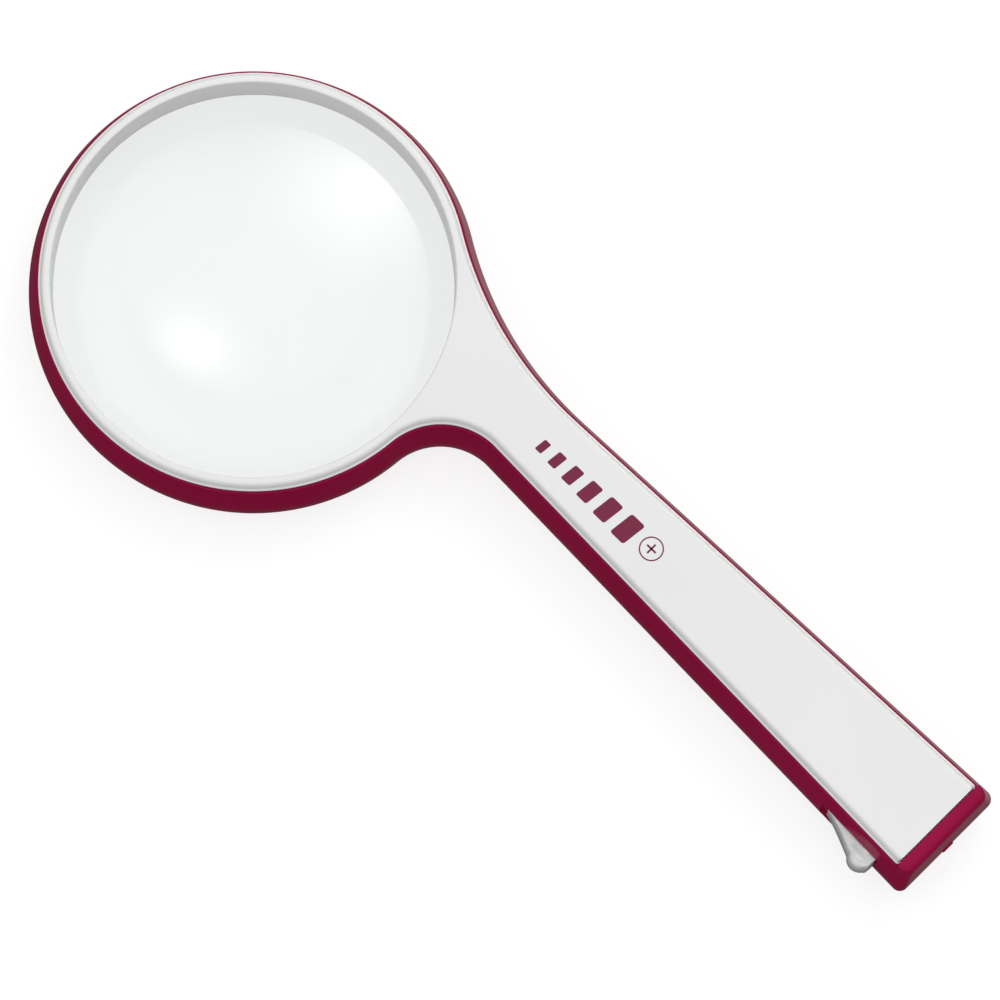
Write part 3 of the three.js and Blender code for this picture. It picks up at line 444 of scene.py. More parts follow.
def moulded_grain_group():
    """Fine spark-eroded grain, slow drift in tone from the melt's flow, and patches polished by hands."""
    tree, start, end = shader_group(
        "moulded_grain",
        [("Place", "Vector", None), ("Grain", "Float", 7000.0), ("Patch", "Float", 90.0)],
        [("Height", "Float"), ("Tone", "Float"), ("Patches", "Float")],
    )
    place = start.outputs["Place"]
    fine = node_in(tree, "ShaderNodeTexNoise", detail=2.0)
    flow = node_in(tree, "ShaderNodeTexNoise", scale=22.0, detail=2.0, distortion=0.6)
    patch = node_in(tree, "ShaderNodeTexNoise", detail=4.0, roughness=0.6)
    for texture in (fine, flow, patch):
        tree.links.new(place, texture.inputs["Vector"])
    tree.links.new(start.outputs["Grain"], fine.inputs["Scale"])
    tree.links.new(start.outputs["Patch"], patch.inputs["Scale"])
    tree.links.new(fine.outputs["Fac"], end.inputs["Height"])
    tree.links.new(spread(tree, flow.outputs["Fac"], 0.3, 0.7), end.inputs["Tone"])
    tree.links.new(spread(tree, patch.outputs["Fac"], 0.42, 0.68), end.inputs["Patches"])
    return tree


def hairlines_group():
    """Faint scratches from use: thin broken lines in two directions."""
    tree, start, end = shader_group(
        "hairlines",
        [("Place", "Vector", None), ("Amount", "Float", 1.0)],
        [("Lines", "Float")],
    )
    found = []
    for turn, stretch, seed in ((0.5, 40.0, 3.1), (-1.1, 55.0, 8.7)):
        mapping = node_in(tree, "ShaderNodeMapping")
        mapping.inputs["Location"].default_value = (seed, seed / 2, 0)
        mapping.inputs["Rotation"].default_value = (0.2, 0.1, turn)
        mapping.inputs["Scale"].default_value = (stretch, 2400.0, 900.0)
        tree.links.new(start.outputs["Place"], mapping.inputs["Vector"])
        lines = noise(tree, mapping.outputs["Vector"], 1.0, 1.0)
        found.append(spread(tree, lines, 0.71, 0.76))
    patchy = spread(tree, noise(tree, start.outputs["Place"], 45.0, 2.0), 0.45, 0.7)
    both = reckon(tree, "MAXIMUM", *found)
    shown = reckon(tree, "MULTIPLY", both, patchy)
    tree.links.new(reckon(tree, "MULTIPLY", shown, start.outputs["Amount"]), end.inputs["Lines"])
    return tree


MOULDED_GRAIN = moulded_grain_group()
HAIRLINES = hairlines_group()


def material(name, **constants):
    """A new material with a Principled shader whose constants are set on its own sockets."""
    made = bpy.data.materials.new(name)
    made.use_nodes = True
    tree = made.node_tree
    shader = tree.nodes["Principled BSDF"]
    for label, value in constants.items():
        shader.inputs[label.replace("_", " ")].default_value = value
    place = tree.nodes.new("ShaderNodeTexCoord").outputs["Object"]
    return made, tree, shader, place


def group_in(tree, group, place, **values):
    """Puts a node group into a material and sets its inputs."""
    made = tree.nodes.new("ShaderNodeGroup")
    made.node_tree = group
    tree.links.new(place, made.inputs["Place"])
    for label, value in values.items():
        made.inputs[label].default_value = value
    return made


def bump(tree, height, shader, strength, distance):
    """Turns a height into relief on the shader's normal."""
    made = node_in(tree, "ShaderNodeBump", strength=strength, distance=distance)
    tree.links.new(height, made.inputs["Height"])
    tree.links.new(made.outputs["Normal"], shader.inputs["Normal"])


def wine_plastic():
    """Wine red ABS with a polished outside, rubbed lighter and duller where it lies on tables."""
    made, tree, shader, place = material("wine_plastic", IOR=1.5, Specular_IOR_Level=0.12)
    grain = group_in(tree, MOULDED_GRAIN, place, Grain=5200.0, Patch=70.0)
    lines = group_in(tree, HAIRLINES, place, Amount=0.8)
    height = tree.nodes.new("ShaderNodeSeparateXYZ")
    tree.links.new(place, height.inputs["Vector"])
    low_down = spread(tree, height.outputs["Z"], 0.0011, 0.0001)
    patchy = spread(tree, noise(tree, place, 420.0, 6.0, 0.65), 0.50, 0.74)
    rubbed = reckon(tree, "MULTIPLY", low_down, patchy)
    worn = reckon(tree, "MAXIMUM", rubbed, reckon(tree, "MULTIPLY", lines.outputs["Lines"], 0.5))
    base = tint(tree, grain.outputs["Tone"], (0.292, 0.0020, 0.047), (0.326, 0.0026, 0.055))
    tree.links.new(tint(tree, reckon(tree, "MULTIPLY", worn, 0.30), base, (0.42, 0.07, 0.14)),
                   shader.inputs["Base Color"])
    sheen_down = spread(tree, grain.outputs["Patches"], 0.0, 1.0, 0.15, 0.22)
    tree.links.new(reckon(tree, "ADD", sheen_down, reckon(tree, "MULTIPLY", worn, 0.28)),
                   shader.inputs["Roughness"])
    relief = reckon(tree, "SUBTRACT", grain.outputs["Height"], reckon(tree, "MULTIPLY", worn, 0.8))
    bump(tree, relief, shader, 0.10, 0.00004)
    return made


WINE_PLASTIC = wine_plastic()


def coated(piece, finish):
    """Gives a piece one finish all over."""
    piece.data.materials.clear()
    piece.data.materials.append(finish)
    return piece


def settle(piece, body, slot, *nodes):
    """The piece rides on its body and stands for its CAD nodes, which are hidden. The slot is not used."""
    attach(piece, body)
    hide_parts(*nodes)


coated(rear_shell, WINE_PLASTIC)
settle(rear_shell, "magnifier", "wine_plastic", "rear_shell")

# --------------------------------------------------------------------------------------------- front shell
# The upper half, moulded in satin white ABS: a flat face with a rounded edge, a skirt that drops inside the
# rear shell's rim, the tube that carries the lens, and bosses and ribs that reach down to the other half.

SKIRT_OUTSIDE = 0.6
SKIRT_INSIDE = 1.8
FACE_EDGE_INSET = 1.1
LIP_WIDTH = 0.42
LIP_HEIGHT = 0.45
LIP_TOP_STEP = 0.16
FACE_RIM_Z = 17.8
FACE_UNDERSIDE_Z = 18
SKIRT_Z = 15.8
LENS_SEAT_Z = 11.05
LENS_SEAT_R = 41.7
MOUTH_R = 42.0
MOUTH_ROUND = 0.45


def face_moulding():
    """The face with its skirt, the thin lip along its lower edge and the rounded edge above the lip."""
    rings = [
        level(z, -inset, FACE_END_X - inset, FACE_CORNER_R)
        for z, inset in ((FACE_UNDERSIDE_Z, SKIRT_INSIDE), (SKIRT_Z, SKIRT_INSIDE),
                         (SKIRT_Z, SKIRT_OUTSIDE), (FACE_RIM_Z, SKIRT_OUTSIDE))
    ]
    lip = [
        (-0.12, 0), (-0.04, 0.04), (0, 0.12), (0, LIP_HEIGHT - 0.10), (-0.03, LIP_HEIGHT - 0.03),
        (-0.10, LIP_HEIGHT), (-LIP_WIDTH + 0.12, LIP_HEIGHT + 0.02),
        (-LIP_WIDTH + 0.03, LIP_HEIGHT + 0.05), (-LIP_WIDTH, LIP_HEIGHT + LIP_TOP_STEP),
    ]
    for side, rise in lip:
        rings.append(level(FACE_RIM_Z + rise, side, FACE_END_X + side / 4, FACE_CORNER_R))
    edge_low = FACE_RIM_Z + LIP_HEIGHT + LIP_TOP_STEP
    for i in range(1, 19):
        angle = i / 18 * math.pi / 2
        inset = LIP_WIDTH + FACE_EDGE_INSET * (1 - math.cos(angle))
        rings.append(level(edge_low + (FACE_Z - edge_low) * math.sin(angle), -inset,
                           FACE_END_X - LIP_WIDTH / 4 - 0.05 * (1 - math.cos(angle)), FACE_CORNER_R))
    rings.append(level(FACE_Z, -LIP_WIDTH - FACE_EDGE_INSET - 0.15, FACE_END_X - 0.2, FACE_CORNER_R))
    return skin("front_shell_moulding", rings)


mouth_curve = [(MOUTH_R + MOUTH_ROUND * (1 - math.cos(a)), FACE_Z - MOUTH_ROUND * (1 - math.sin(a)))
               for a in (i / 8 * math.radians(80) for i in range(9))]
front_shell = carve(
    face_moulding(),
    turned("lens_tube", [(0, TUBE_END_Z), (TUBE_R, TUBE_END_Z), (TUBE_R, 19), (0, 19)], steps=160),
    how="UNION",
)
carve(front_shell, turned("bore_and_mouth", [
    (0, 1), (OPENING_R, 1), (OPENING_R, LENS_SEAT_Z), (LENS_SEAT_R, LENS_SEAT_Z),
    *mouth_curve, (mouth_curve[-1][0] + 0.15, FACE_Z + 0.5), (0, FACE_Z + 0.5),
], steps=192))
smoothed(front_shell)
with_parts(
    front_shell,
    *[turned("boss", [(1.0, 9.2), (2.3, 9.2), (2.3, 18.4), (1.0, 18.4)], x, y, 32, loop=True)
      for x, y, seat in SCREW_PLACES],
)


def geometry_tree(name, inputs):
    """An empty Geometry Nodes tree with named inputs; returns it, its input identifiers and its end nodes."""
    tree = bpy.data.node_groups.new(name, "GeometryNodeTree")
    tree.interface.new_socket("Geometry", in_out="INPUT", socket_type="NodeSocketGeometry")
    tree.interface.new_socket("Geometry", in_out="OUTPUT", socket_type="NodeSocketGeometry")
    names = {}
    for label, kind in inputs:
        socket = tree.interface.new_socket(label, in_out="INPUT", socket_type="NodeSocket" + kind)
        names[label] = socket.identifier
    return tree, names, tree.nodes.new("NodeGroupInput"), tree.nodes.new("NodeGroupOutput")


def closing(tree, geometry, finish, end):
    """Ends a tree with Realize Instances and Set Material."""
    real = tree.nodes.new("GeometryNodeRealizeInstances")
    paint = tree.nodes.new("GeometryNodeSetMaterial")
    tree.links.new(geometry, real.inputs["Geometry"])
    tree.links.new(real.outputs["Geometry"], paint.inputs["Geometry"])
    tree.links.new(finish, paint.inputs["Material"])
    tree.links.new(paint.outputs["Geometry"], end.inputs["Geometry"])


def grown(name, tree, names, values, points=(), edges=()):
    """Runs a tree on a few points and keeps what it makes as a plain mesh."""
    seed = bpy.data.meshes.new(name)
    seed.from_pydata([tuple(p) for p in points], list(edges), [])
    body = bpy.data.objects.new(name, seed)
    step = body.modifiers.new("grow", "NODES")
    step.node_group = tree
    for label, value in values.items():
        step[names[label]] = value
    bpy.context.scene.collection.objects.link(body)
    bpy.context.view_layer.update()
    made = bpy.data.meshes.new_from_object(body.evaluated_get(bpy.context.evaluated_depsgraph_get()))
    body.modifiers.clear()
    body.data = made
    return body


def row_tree():
    """Equal bars in a straight row: stiffening ribs, grip grooves, thumb ridges."""
    tree, names, start, end = geometry_tree("row_of_bars", [
        ("Count", "Int"), ("First", "Vector"), ("Step", "Vector"), ("Size", "Vector"), ("Finish", "Material"),
    ])
    line = tree.nodes.new("GeometryNodeMeshLine")
    line.mode = "OFFSET"
    block = tree.nodes.new("GeometryNodeMeshCube")
    spots = tree.nodes.new("GeometryNodeInstanceOnPoints")
    tree.links.new(start.outputs["Count"], line.inputs["Count"])
    tree.links.new(start.outputs["First"], line.inputs["Start Location"])
    tree.links.new(start.outputs["Step"], line.inputs["Offset"])
    tree.links.new(start.outputs["Size"], block.inputs["Size"])
    tree.links.new(line.outputs["Mesh"], spots.inputs["Points"])
    tree.links.new(block.outputs["Mesh"], spots.inputs["Instance"])
    closing(tree, spots.outputs["Instances"], start.outputs["Finish"], end)
    return tree, names


ROW_OF_BARS, ROW_INPUTS = row_tree()


def white_plastic():
    """Satin white ABS, a little warmer in places, with hand-polished patches and fine scratches."""
    made, tree, shader, place = material("white_plastic", IOR=1.5, Specular_IOR_Level=0.4)
    grain = group_in(tree, MOULDED_GRAIN, place, Grain=6500.0, Patch=60.0)
    lines = group_in(tree, HAIRLINES, place, Amount=0.6)
    base = tint(tree, grain.outputs["Tone"], (0.845, 0.850, 0.848), (0.870, 0.872, 0.870))
    scratched = reckon(tree, "MULTIPLY", lines.outputs["Lines"], 0.25)
    tree.links.new(tint(tree, scratched, base, (0.76, 0.76, 0.75)), shader.inputs["Base Color"])
    satin = spread(tree, grain.outputs["Patches"], 0.0, 1.0, 0.38, 0.29)
    tree.links.new(reckon(tree, "ADD", satin, reckon(tree, "MULTIPLY", lines.outputs["Lines"], 0.15)),
                   shader.inputs["Roughness"])
    relief = reckon(tree, "SUBTRACT", grain.outputs["Height"], lines.outputs["Lines"])
    bump(tree, relief, shader, 0.12, 0.00004)
    return made


WHITE_PLASTIC = white_plastic()
stiffeners = grown("stiffeners", ROW_OF_BARS, ROW_INPUTS, {
    "Count": 3, "First": at(85.6, HANDLE_Y, 16.6), "Step": (33 * MM, 0, 0),
    "Size": (1.2 * MM, 11 * MM, 3.2 * MM), "Finish": WHITE_PLASTIC,
})
with_parts(front_shell, stiffeners)
coated(front_shell, WHITE_PLASTIC)
settle(front_shell, "magnifier", "white_plastic", "front_shell")

# ---------------------------------------------------------------------------------------------------- lens
# A biconvex lens of clear cast acrylic, 85 mm across and 17 mm thick, about 8 dioptres. It drops into the
# tube from the back against the seat, so only its polished dome shows inside the mouth.

LENS_R = 42.5
LENS_POLISHED_R = 41.7
LENS_HALF_EDGE = 1.0
LENS_SURFACE_R = 120
LENS_MID_Z = 10
LENS_EDGE_CHAMFER = 0.15


def lens_profile():
    """The lens in section: two equal domes and a short edge."""
    drop = math.sqrt(LENS_SURFACE_R ** 2 - LENS_POLISHED_R ** 2)
    dome = []
    for i in range(41):
        r = LENS_POLISHED_R * i / 40
        dome.append((r, LENS_HALF_EDGE + math.sqrt(LENS_SURFACE_R ** 2 - r * r) - drop))
    edge = [(LENS_R - LENS_EDGE_CHAMFER, LENS_HALF_EDGE), (LENS_R, LENS_HALF_EDGE - LENS_EDGE_CHAMFER)]
    half = dome + edge
    back = [(r, LENS_MID_Z - z) for r, z in half]
    front = [(r, LENS_MID_Z + z) for r, z in reversed(half)]
    return back + front


def clear_acrylic(name, colour, ior, dull):
    """Clear acrylic with faint finger smears. Lamps shine straight through it onto what lies behind."""
    made, tree, shader, place = material(name, IOR=ior, Base_Color=(*colour, 1), Transmission_Weight=1.0)
    smears = group_in(tree, MOULDED_GRAIN, place, Grain=2500.0, Patch=55.0)
    tree.links.new(spread(tree, smears.outputs["Patches"], 0.55, 1.0, 0.0, dull), shader.inputs["Roughness"])
    clear = tree.nodes.new("ShaderNodeBsdfTransparent")
    clear.inputs["Color"].default_value = (0.97, 0.975, 0.975, 1)
    path = tree.nodes.new("ShaderNodeLightPath")
    either = reckon(tree, "MAXIMUM", path.outputs["Is Shadow Ray"], path.outputs["Is Diffuse Ray"])
    mix = tree.nodes.new("ShaderNodeMixShader")
    tree.links.new(either, mix.inputs["Fac"])
    tree.links.new(shader.outputs["BSDF"], mix.inputs[1])
    tree.links.new(clear.outputs["BSDF"], mix.inputs[2])
    tree.links.new(mix.outputs["Shader"], tree.nodes["Material Output"].inputs["Surface"])
    return made


LENS_CLEAR = clear_acrylic("lens_clear", (0.888, 0.896, 0.896), 1.49, 0.015)
lens = smoothed(turned("lens_polished", lens_profile(), steps=192), 20)
coated(lens, LENS_CLEAR)
settle(lens, "magnifier", "lens_clear", "lens")

# ------------------------------------------------------------------------------------------- lens retainer
# A plain white ring pressed into the tube from the back, which holds the lens against its seat. Its outer
# end stands just above the back plane, so that the lens never touches what it lies on.

RETAINER_R = 42.7
RETAINER_BORE_R = 41.75
RETAINER_Z = 0.3
RETAINER_TOP_Z = 8.95
RETAINER_ROUND = 0.3

lens_retainer = turned("lens_retainer_ring", [
    *[(RETAINER_R - RETAINER_ROUND * (1 - math.sin(a)), RETAINER_Z + RETAINER_ROUND * (1 - math.cos(a)))
      for a in (i / 5 * math.pi / 2 for i in range(6))],
    (RETAINER_R, RETAINER_TOP_Z), (RETAINER_BORE_R, RETAINER_TOP_Z),
    *[(RETAINER_BORE_R + RETAINER_ROUND * (1 - math.cos(a)), RETAINER_Z + RETAINER_ROUND * (1 - math.sin(a)))
      for a in (i / 5 * math.pi / 2 for i in range(6))],
], steps=192, loop=True)
smoothed(lens_retainer)
coated(lens_retainer, WHITE_PLASTIC)
settle(lens_retainer, "magnifier", "white_plastic", "lens_retainer")

# ---------------------------------------------------------------------------------------------------- lamp
# One white diode on a small green board lights the page through a clear window in the back, beside the
# lens. The window's flange traps it between the shell and the board's posts.

WINDOW_R = 3.0

WINDOW_CLEAR = clear_acrylic("window_clear", (0.97, 0.98, 0.98), 1.49, 0.18)
light_window = smoothed(turned("lamp_window", [
    (0, 0.2), (WINDOW_R - 0.25, 0.2), (WINDOW_R - 0.07, 0.27), (WINDOW_R, 0.45), (WINDOW_R, 2.5), (3.8, 2.5),
    (3.8, 3.3), (2.2, 3.3), (1.6, 3.05), (0.8, 2.9), (0, 2.85),
], WINDOW_X, HANDLE_Y, 64), 25)
coated(light_window, WINDOW_CLEAR)
settle(light_window, "magnifier", "window_clear", "light_window")


def board_green():
    """Green solder mask over copper tracks on woven glass."""
    made, tree, shader, place = material("board_green", IOR=1.5, Coat_Weight=0.3)
    tracks = node_in(tree, "ShaderNodeTexBrick", scale=420.0)
    tracks.inputs["Mortar Size"].default_value = 0.08
    tree.links.new(place, tracks.inputs["Vector"])
    weave = node_in(tree, "ShaderNodeTexWave", scale=900.0, distortion=1.5)
    tree.links.new(place, weave.inputs["Vector"])
    shade = tint(tree, weave.outputs["Fac"], (0.010, 0.095, 0.040), (0.016, 0.130, 0.055))
    tree.links.new(tint(tree, tracks.outputs["Fac"], shade, (0.05, 0.25, 0.10)), shader.inputs["Base Color"])
    tree.links.new(spread(tree, weave.outputs["Fac"], 0.0, 1.0, 0.30, 0.42), shader.inputs["Roughness"])
    bump(tree, tracks.outputs["Fac"], shader, 0.3, 0.00003)
    return made


def diode_package():
    """A white ceramic package with a yellow phosphor pad in the middle of its face."""
    made, tree, shader, place = material("diode", IOR=1.5)
    low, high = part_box("lamp_diode")
    centred = node_in(tree, "ShaderNodeMapping")
    centred.inputs["Location"].default_value = (-(low.x + high.x) / 2, -(low.y + high.y) / 2, -low.z)
    tree.links.new(place, centred.inputs["Vector"])
    far = node_in(tree, "ShaderNodeVectorMath", operation="LENGTH")
    tree.links.new(centred.outputs["Vector"], far.inputs[0])
    pad = spread(tree, far.outputs["Value"], 0.00125, 0.00115)
    speckle = noise(tree, place, 5000.0)
    phosphor = tint(tree, speckle, (0.72, 0.52, 0.06), (0.84, 0.66, 0.12))
    tree.links.new(tint(tree, pad, (0.80, 0.79, 0.74), phosphor), shader.inputs["Base Color"])
    tree.links.new(spread(tree, speckle, 0.3, 0.7, 0.35, 0.5), shader.inputs["Roughness"])
    bump(tree, speckle, shader, 0.2, 0.00003)
    return made


def black_plastic():
    """Black glass-filled nylon with a dull grain."""
    made, tree, shader, place = material("black_plastic", IOR=1.5)
    grain = group_in(tree, MOULDED_GRAIN, place, Grain=3500.0, Patch=120.0)
    tree.links.new(tint(tree, grain.outputs["Tone"], (0.012, 0.012, 0.013), (0.022, 0.022, 0.024)),
                   shader.inputs["Base Color"])
    tree.links.new(spread(tree, grain.outputs["Patches"], 0.0, 1.0, 0.42, 0.58), shader.inputs["Roughness"])
    bump(tree, grain.outputs["Height"], shader, 0.3, 0.00005)
    return made


def dress(finish, *names):
    """A CAD node that keeps its own shape gets its finish."""
    for name in names:
        coated(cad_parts[name], finish)


BOARD_GREEN = board_green()
BLACK_PLASTIC = black_plastic()
dress(BOARD_GREEN, "lamp_board")
dress(diode_package(), "lamp_diode")
dress(BLACK_PLASTIC, "lamp_resistor")

# ------------------------------------------------------------------------------ cells, tray and contacts
# Two AAA cells lie end to end in a black tray open toward the door. Nickel plated spring steel contacts
# stand at its ends, and a conical coil spring presses the cells toward the lamp.

CELL_Z = 8.1
SPRING_TIP_R = 2.3
SPRING_BASE_R = 3.2
SPRING_WIRE_R = 0.25
SPRING_TURNS = 3.0


def nickel():
    """Nickel plating: fine drawing lines, slightly yellow, dulled in patches."""
    made, tree, shader, place = material("nickel", Metallic=1.0)
    drawn = node_in(tree, "ShaderNodeMapping")
    drawn.inputs["Scale"].default_value = (900.0, 900.0, 9000.0)
    tree.links.new(place, drawn.inputs["Vector"])
    lines = noise(tree, drawn.outputs["Vector"], 1.0)
    tarnish = noise(tree, place, 400.0, 4.0)
    tree.links.new(tint(tree, tarnish, (0.60, 0.57, 0.50), (0.70, 0.68, 0.62)), shader.inputs["Base Color"])
    tree.links.new(spread(tree, lines, 0.3, 0.7, 0.22, 0.38), shader.inputs["Roughness"])
    bump(tree, lines, shader, 0.15, 0.00002)
    return made


def cell_jacket():
    """A shrunk and printed film jacket: dark with a metallic band round the positive end, steel ends."""
    made, tree, shader, place = material("cell_jacket", IOR=1.5, Coat_Weight=0.4, Coat_Roughness=0.15)
    parts = tree.nodes.new("ShaderNodeSeparateXYZ")
    tree.links.new(place, parts.inputs["Vector"])
    low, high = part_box("battery_1")
    along = reckon(tree, "SUBTRACT", parts.outputs["X"], low.x)
    along = reckon(tree, "MODULO", along, high.x - low.x + 0.0001)
    band = reckon(tree, "LESS_THAN", along, 0.0125)
    ends = reckon(tree, "MAXIMUM", reckon(tree, "LESS_THAN", along, 0.0012),
                  reckon(tree, "GREATER_THAN", along, 0.0440))
    crinkle = noise(tree, place, 700.0, 3.0)
    film = tint(tree, crinkle, (0.020, 0.030, 0.050), (0.030, 0.042, 0.066))
    printed = tint(tree, band, film, (0.52, 0.33, 0.12))
    tree.links.new(tint(tree, ends, printed, (0.60, 0.60, 0.60)), shader.inputs["Base Color"])
    metal = reckon(tree, "MAXIMUM", ends, reckon(tree, "MULTIPLY", band, 0.8))
    tree.links.new(metal, shader.inputs["Metallic"])
    tree.links.new(spread(tree, crinkle, 0.3, 0.7, 0.24, 0.36), shader.inputs["Roughness"])
    bump(tree, crinkle, shader, 0.15, 0.00006)
    return made


def coil_tree():
    """Round wire wound in a cone."""
    tree, names, start, end = geometry_tree("conical_coil", [
        ("Turns", "Float"), ("Tip Radius", "Float"), ("Base Radius", "Float"), ("Length", "Float"),
        ("Wire Radius", "Float"), ("Finish", "Material"),
    ])
    spiral = tree.nodes.new("GeometryNodeCurveSpiral")
    spiral.inputs["Resolution"].default_value = 28
    section = tree.nodes.new("GeometryNodeCurvePrimitiveCircle")
    section.inputs["Resolution"].default_value = 14
    tube = tree.nodes.new("GeometryNodeCurveToMesh")
    tube.inputs["Fill Caps"].default_value = True
    tree.links.new(start.outputs["Turns"], spiral.inputs["Rotations"])
    tree.links.new(start.outputs["Tip Radius"], spiral.inputs["Start Radius"])
    tree.links.new(start.outputs["Base Radius"], spiral.inputs["End Radius"])
    tree.links.new(start.outputs["Length"], spiral.inputs["Height"])
    tree.links.new(start.outputs["Wire Radius"], section.inputs["Radius"])
    tree.links.new(spiral.outputs["Curve"], tube.inputs["Curve"])
    tree.links.new(section.outputs["Curve"], tube.inputs["Profile Curve"])
    closing(tree, tube.outputs["Mesh"], start.outputs["Finish"], end)
    return tree, names


NICKEL = nickel()
spring_low, spring_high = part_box("contact_spring")
coil, coil_inputs = coil_tree()
contact_spring = grown("contact_coil", coil, coil_inputs, {
    "Turns": SPRING_TURNS, "Tip Radius": SPRING_TIP_R * MM, "Base Radius": SPRING_BASE_R * MM,
    "Length": spring_high.x - spring_low.x - 2 * SPRING_WIRE_R * MM, "Wire Radius": SPRING_WIRE_R * MM,
    "Finish": NICKEL,
})
contact_spring.data.transform(
    Matrix.Translation((spring_low.x + SPRING_WIRE_R * MM, HANDLE_Y * MM, CELL_Z * MM))
    @ Matrix.Rotation(math.pi / 2, 4, "Y")
)
smoothed(contact_spring, 50)
settle(contact_spring, "magnifier", "nickel", "contact_spring")
dress(NICKEL, "contact_positive", "contact_negative")
dress(BLACK_PLASTIC, "battery_tray")
dress(cell_jacket(), "battery_1", "battery_2")

# --------------------------------------------------------------------------------------------------- wires
# Three insulated leads join the cells, the lamp and the switch. The long one runs in the channel between
# the tray and the side wall.


def insulation(name, colour):
    """Soft PVC insulation, slightly powdery, with a faint mottle."""
    made, tree, shader, place = material(name, IOR=1.5)
    mottle = noise(tree, place, 900.0, 3.0)
    darker = tuple(c * 0.75 for c in colour)
    tree.links.new(tint(tree, mottle, darker, colour), shader.inputs["Base Color"])
    tree.links.new(spread(tree, mottle, 0.3, 0.7, 0.40, 0.55), shader.inputs["Roughness"])
    bump(tree, mottle, shader, 0.2, 0.00003)
    return made


dress(insulation("wire_red", (0.42, 0.015, 0.012)), "wire_cell_to_lamp")
dress(insulation("wire_white", (0.72, 0.71, 0.68)), "wire_switch_to_lamp")
dress(insulation("wire_black", (0.018, 0.018, 0.020)), "wire_cell_to_switch")

# -------------------------------------------------------------------------------------------- battery door
# The same wine red plastic: a long flanged plate that slides in rails along the back, with grip grooves
# near the butt and a turned-up end that closes the slot in the butt wall. A small ridge gives a nail a hold.

PLATE_START_X = 71.2
PLATE_HALF = 6.1
PLATE_Z = 2.2
FLANGE_HALF = 7.0
FLANGE_LOW_Z = 1.25
FLANGE_TOP_Z = 2.15
TAB_TOP_Z = 9.4
GRIP_COUNT = 6
GRIP_PITCH = 2.0
GRIP_X = 160.4

battery_door = rail("battery_door_slide", [
    (-PLATE_HALF, -1), (PLATE_HALF, -1), (PLATE_HALF, FLANGE_LOW_Z), (FLANGE_HALF, FLANGE_LOW_Z),
    (FLANGE_HALF, FLANGE_TOP_Z), (PLATE_HALF, FLANGE_TOP_Z), (PLATE_HALF, PLATE_Z), (-PLATE_HALF, PLATE_Z),
    (-PLATE_HALF, FLANGE_TOP_Z), (-FLANGE_HALF, FLANGE_TOP_Z), (-FLANGE_HALF, FLANGE_LOW_Z),
    (-PLATE_HALF, FLANGE_LOW_Z),
], PLATE_START_X, BUTT_X + 1)
tab = bar("tab", (BUTT_X - BUTT_WALL, BUTT_X + 1.5), (HANDLE_Y - PLATE_HALF, HANDLE_Y + PLATE_HALF),
          (-2, TAB_TOP_Z))
carve(battery_door, tab, how="UNION")
carve(battery_door, outer_skin("door_outside"), how="INTERSECT")
grip_grooves = grown("grip_grooves", ROW_OF_BARS, ROW_INPUTS, {
    "Count": GRIP_COUNT, "First": at(GRIP_X, HANDLE_Y, 0), "Step": (GRIP_PITCH * MM, 0, 0),
    "Size": (0.8 * MM, 8 * MM, 1.0 * MM), "Finish": WINE_PLASTIC,
})
carve(battery_door, grip_grooves)
smoothed(battery_door)
nail_ridge = rounded_block("nail_ridge", (
    (BUTT_X - 0.9, BUTT_X + 0.28), (HANDLE_Y - 1.5, HANDLE_Y + 1.5), (8.3, 9.2),
), 0.25, at)
with_parts(battery_door, nail_ridge)
coated(battery_door, WINE_PLASTIC)
settle(battery_door, "door", "wine_plastic", "battery_door")

# -------------------------------------------------------------------------------------------------- switch
# A thumb piece with a satin silver finish slides along the side wall in a shallow pocket. Its stem reaches
# through a slot and moves the lever of a small steel cased slide switch soldered to an upright board.

THUMB_LENS_END = -6.6
THUMB_BUTT_END = 7.6
THUMB_BACK = 0.9
THUMB_ROUND_X = 4.9
THUMB_ROUND_Y = -1.1
THUMB_ROUND_R = 2.7
THUMB_HALF_HEIGHT = 3.3
THUMB_MEET = 1.2 * math.pi
THUMB_RIDGES = 9
THUMB_RIDGE_PITCH = 0.42


def thumb_reach(x):
    """How far the thumb piece's outside stands from its back, at x along the wall."""
    meet_x = THUMB_ROUND_X + THUMB_ROUND_R * math.cos(THUMB_MEET)
    meet_y = THUMB_ROUND_Y + THUMB_ROUND_R * math.sin(THUMB_MEET)
    if x >= meet_x:
        return THUMB_BACK - THUMB_ROUND_Y + math.sqrt(max(THUMB_ROUND_R ** 2 - (x - THUMB_ROUND_X) ** 2, 0))
    low, high = 0.0, 1.0
    for _ in range(40):
        t = (low + high) / 2
        px = (1 - t) ** 2 * THUMB_LENS_END + 2 * t * (1 - t) * THUMB_LENS_END / 2 + t * t * meet_x
        low, high = (t, high) if px < x else (low, t)
    py = (1 - t) ** 2 * (THUMB_BACK - 0.2) + 2 * t * (1 - t) * -0.2 + t * t * meet_y
    return THUMB_BACK - py


def thumb_ring(x, reach, half):
    """A D-shaped section across the wall at x, squarer than an ellipse, closed along its flat back."""
    power = 2 / 3.4
    ring = []
    for i in range(37):
        a = i / 36 * math.pi
        z = half * math.copysign(abs(math.cos(a)) ** power, math.cos(a))
        ring.append((x, THUMB_BACK - reach * abs(math.sin(a)) ** power, z))
    return ring + [(x, THUMB_BACK, half * (i / 3 - 1)) for i in range(1, 6)]


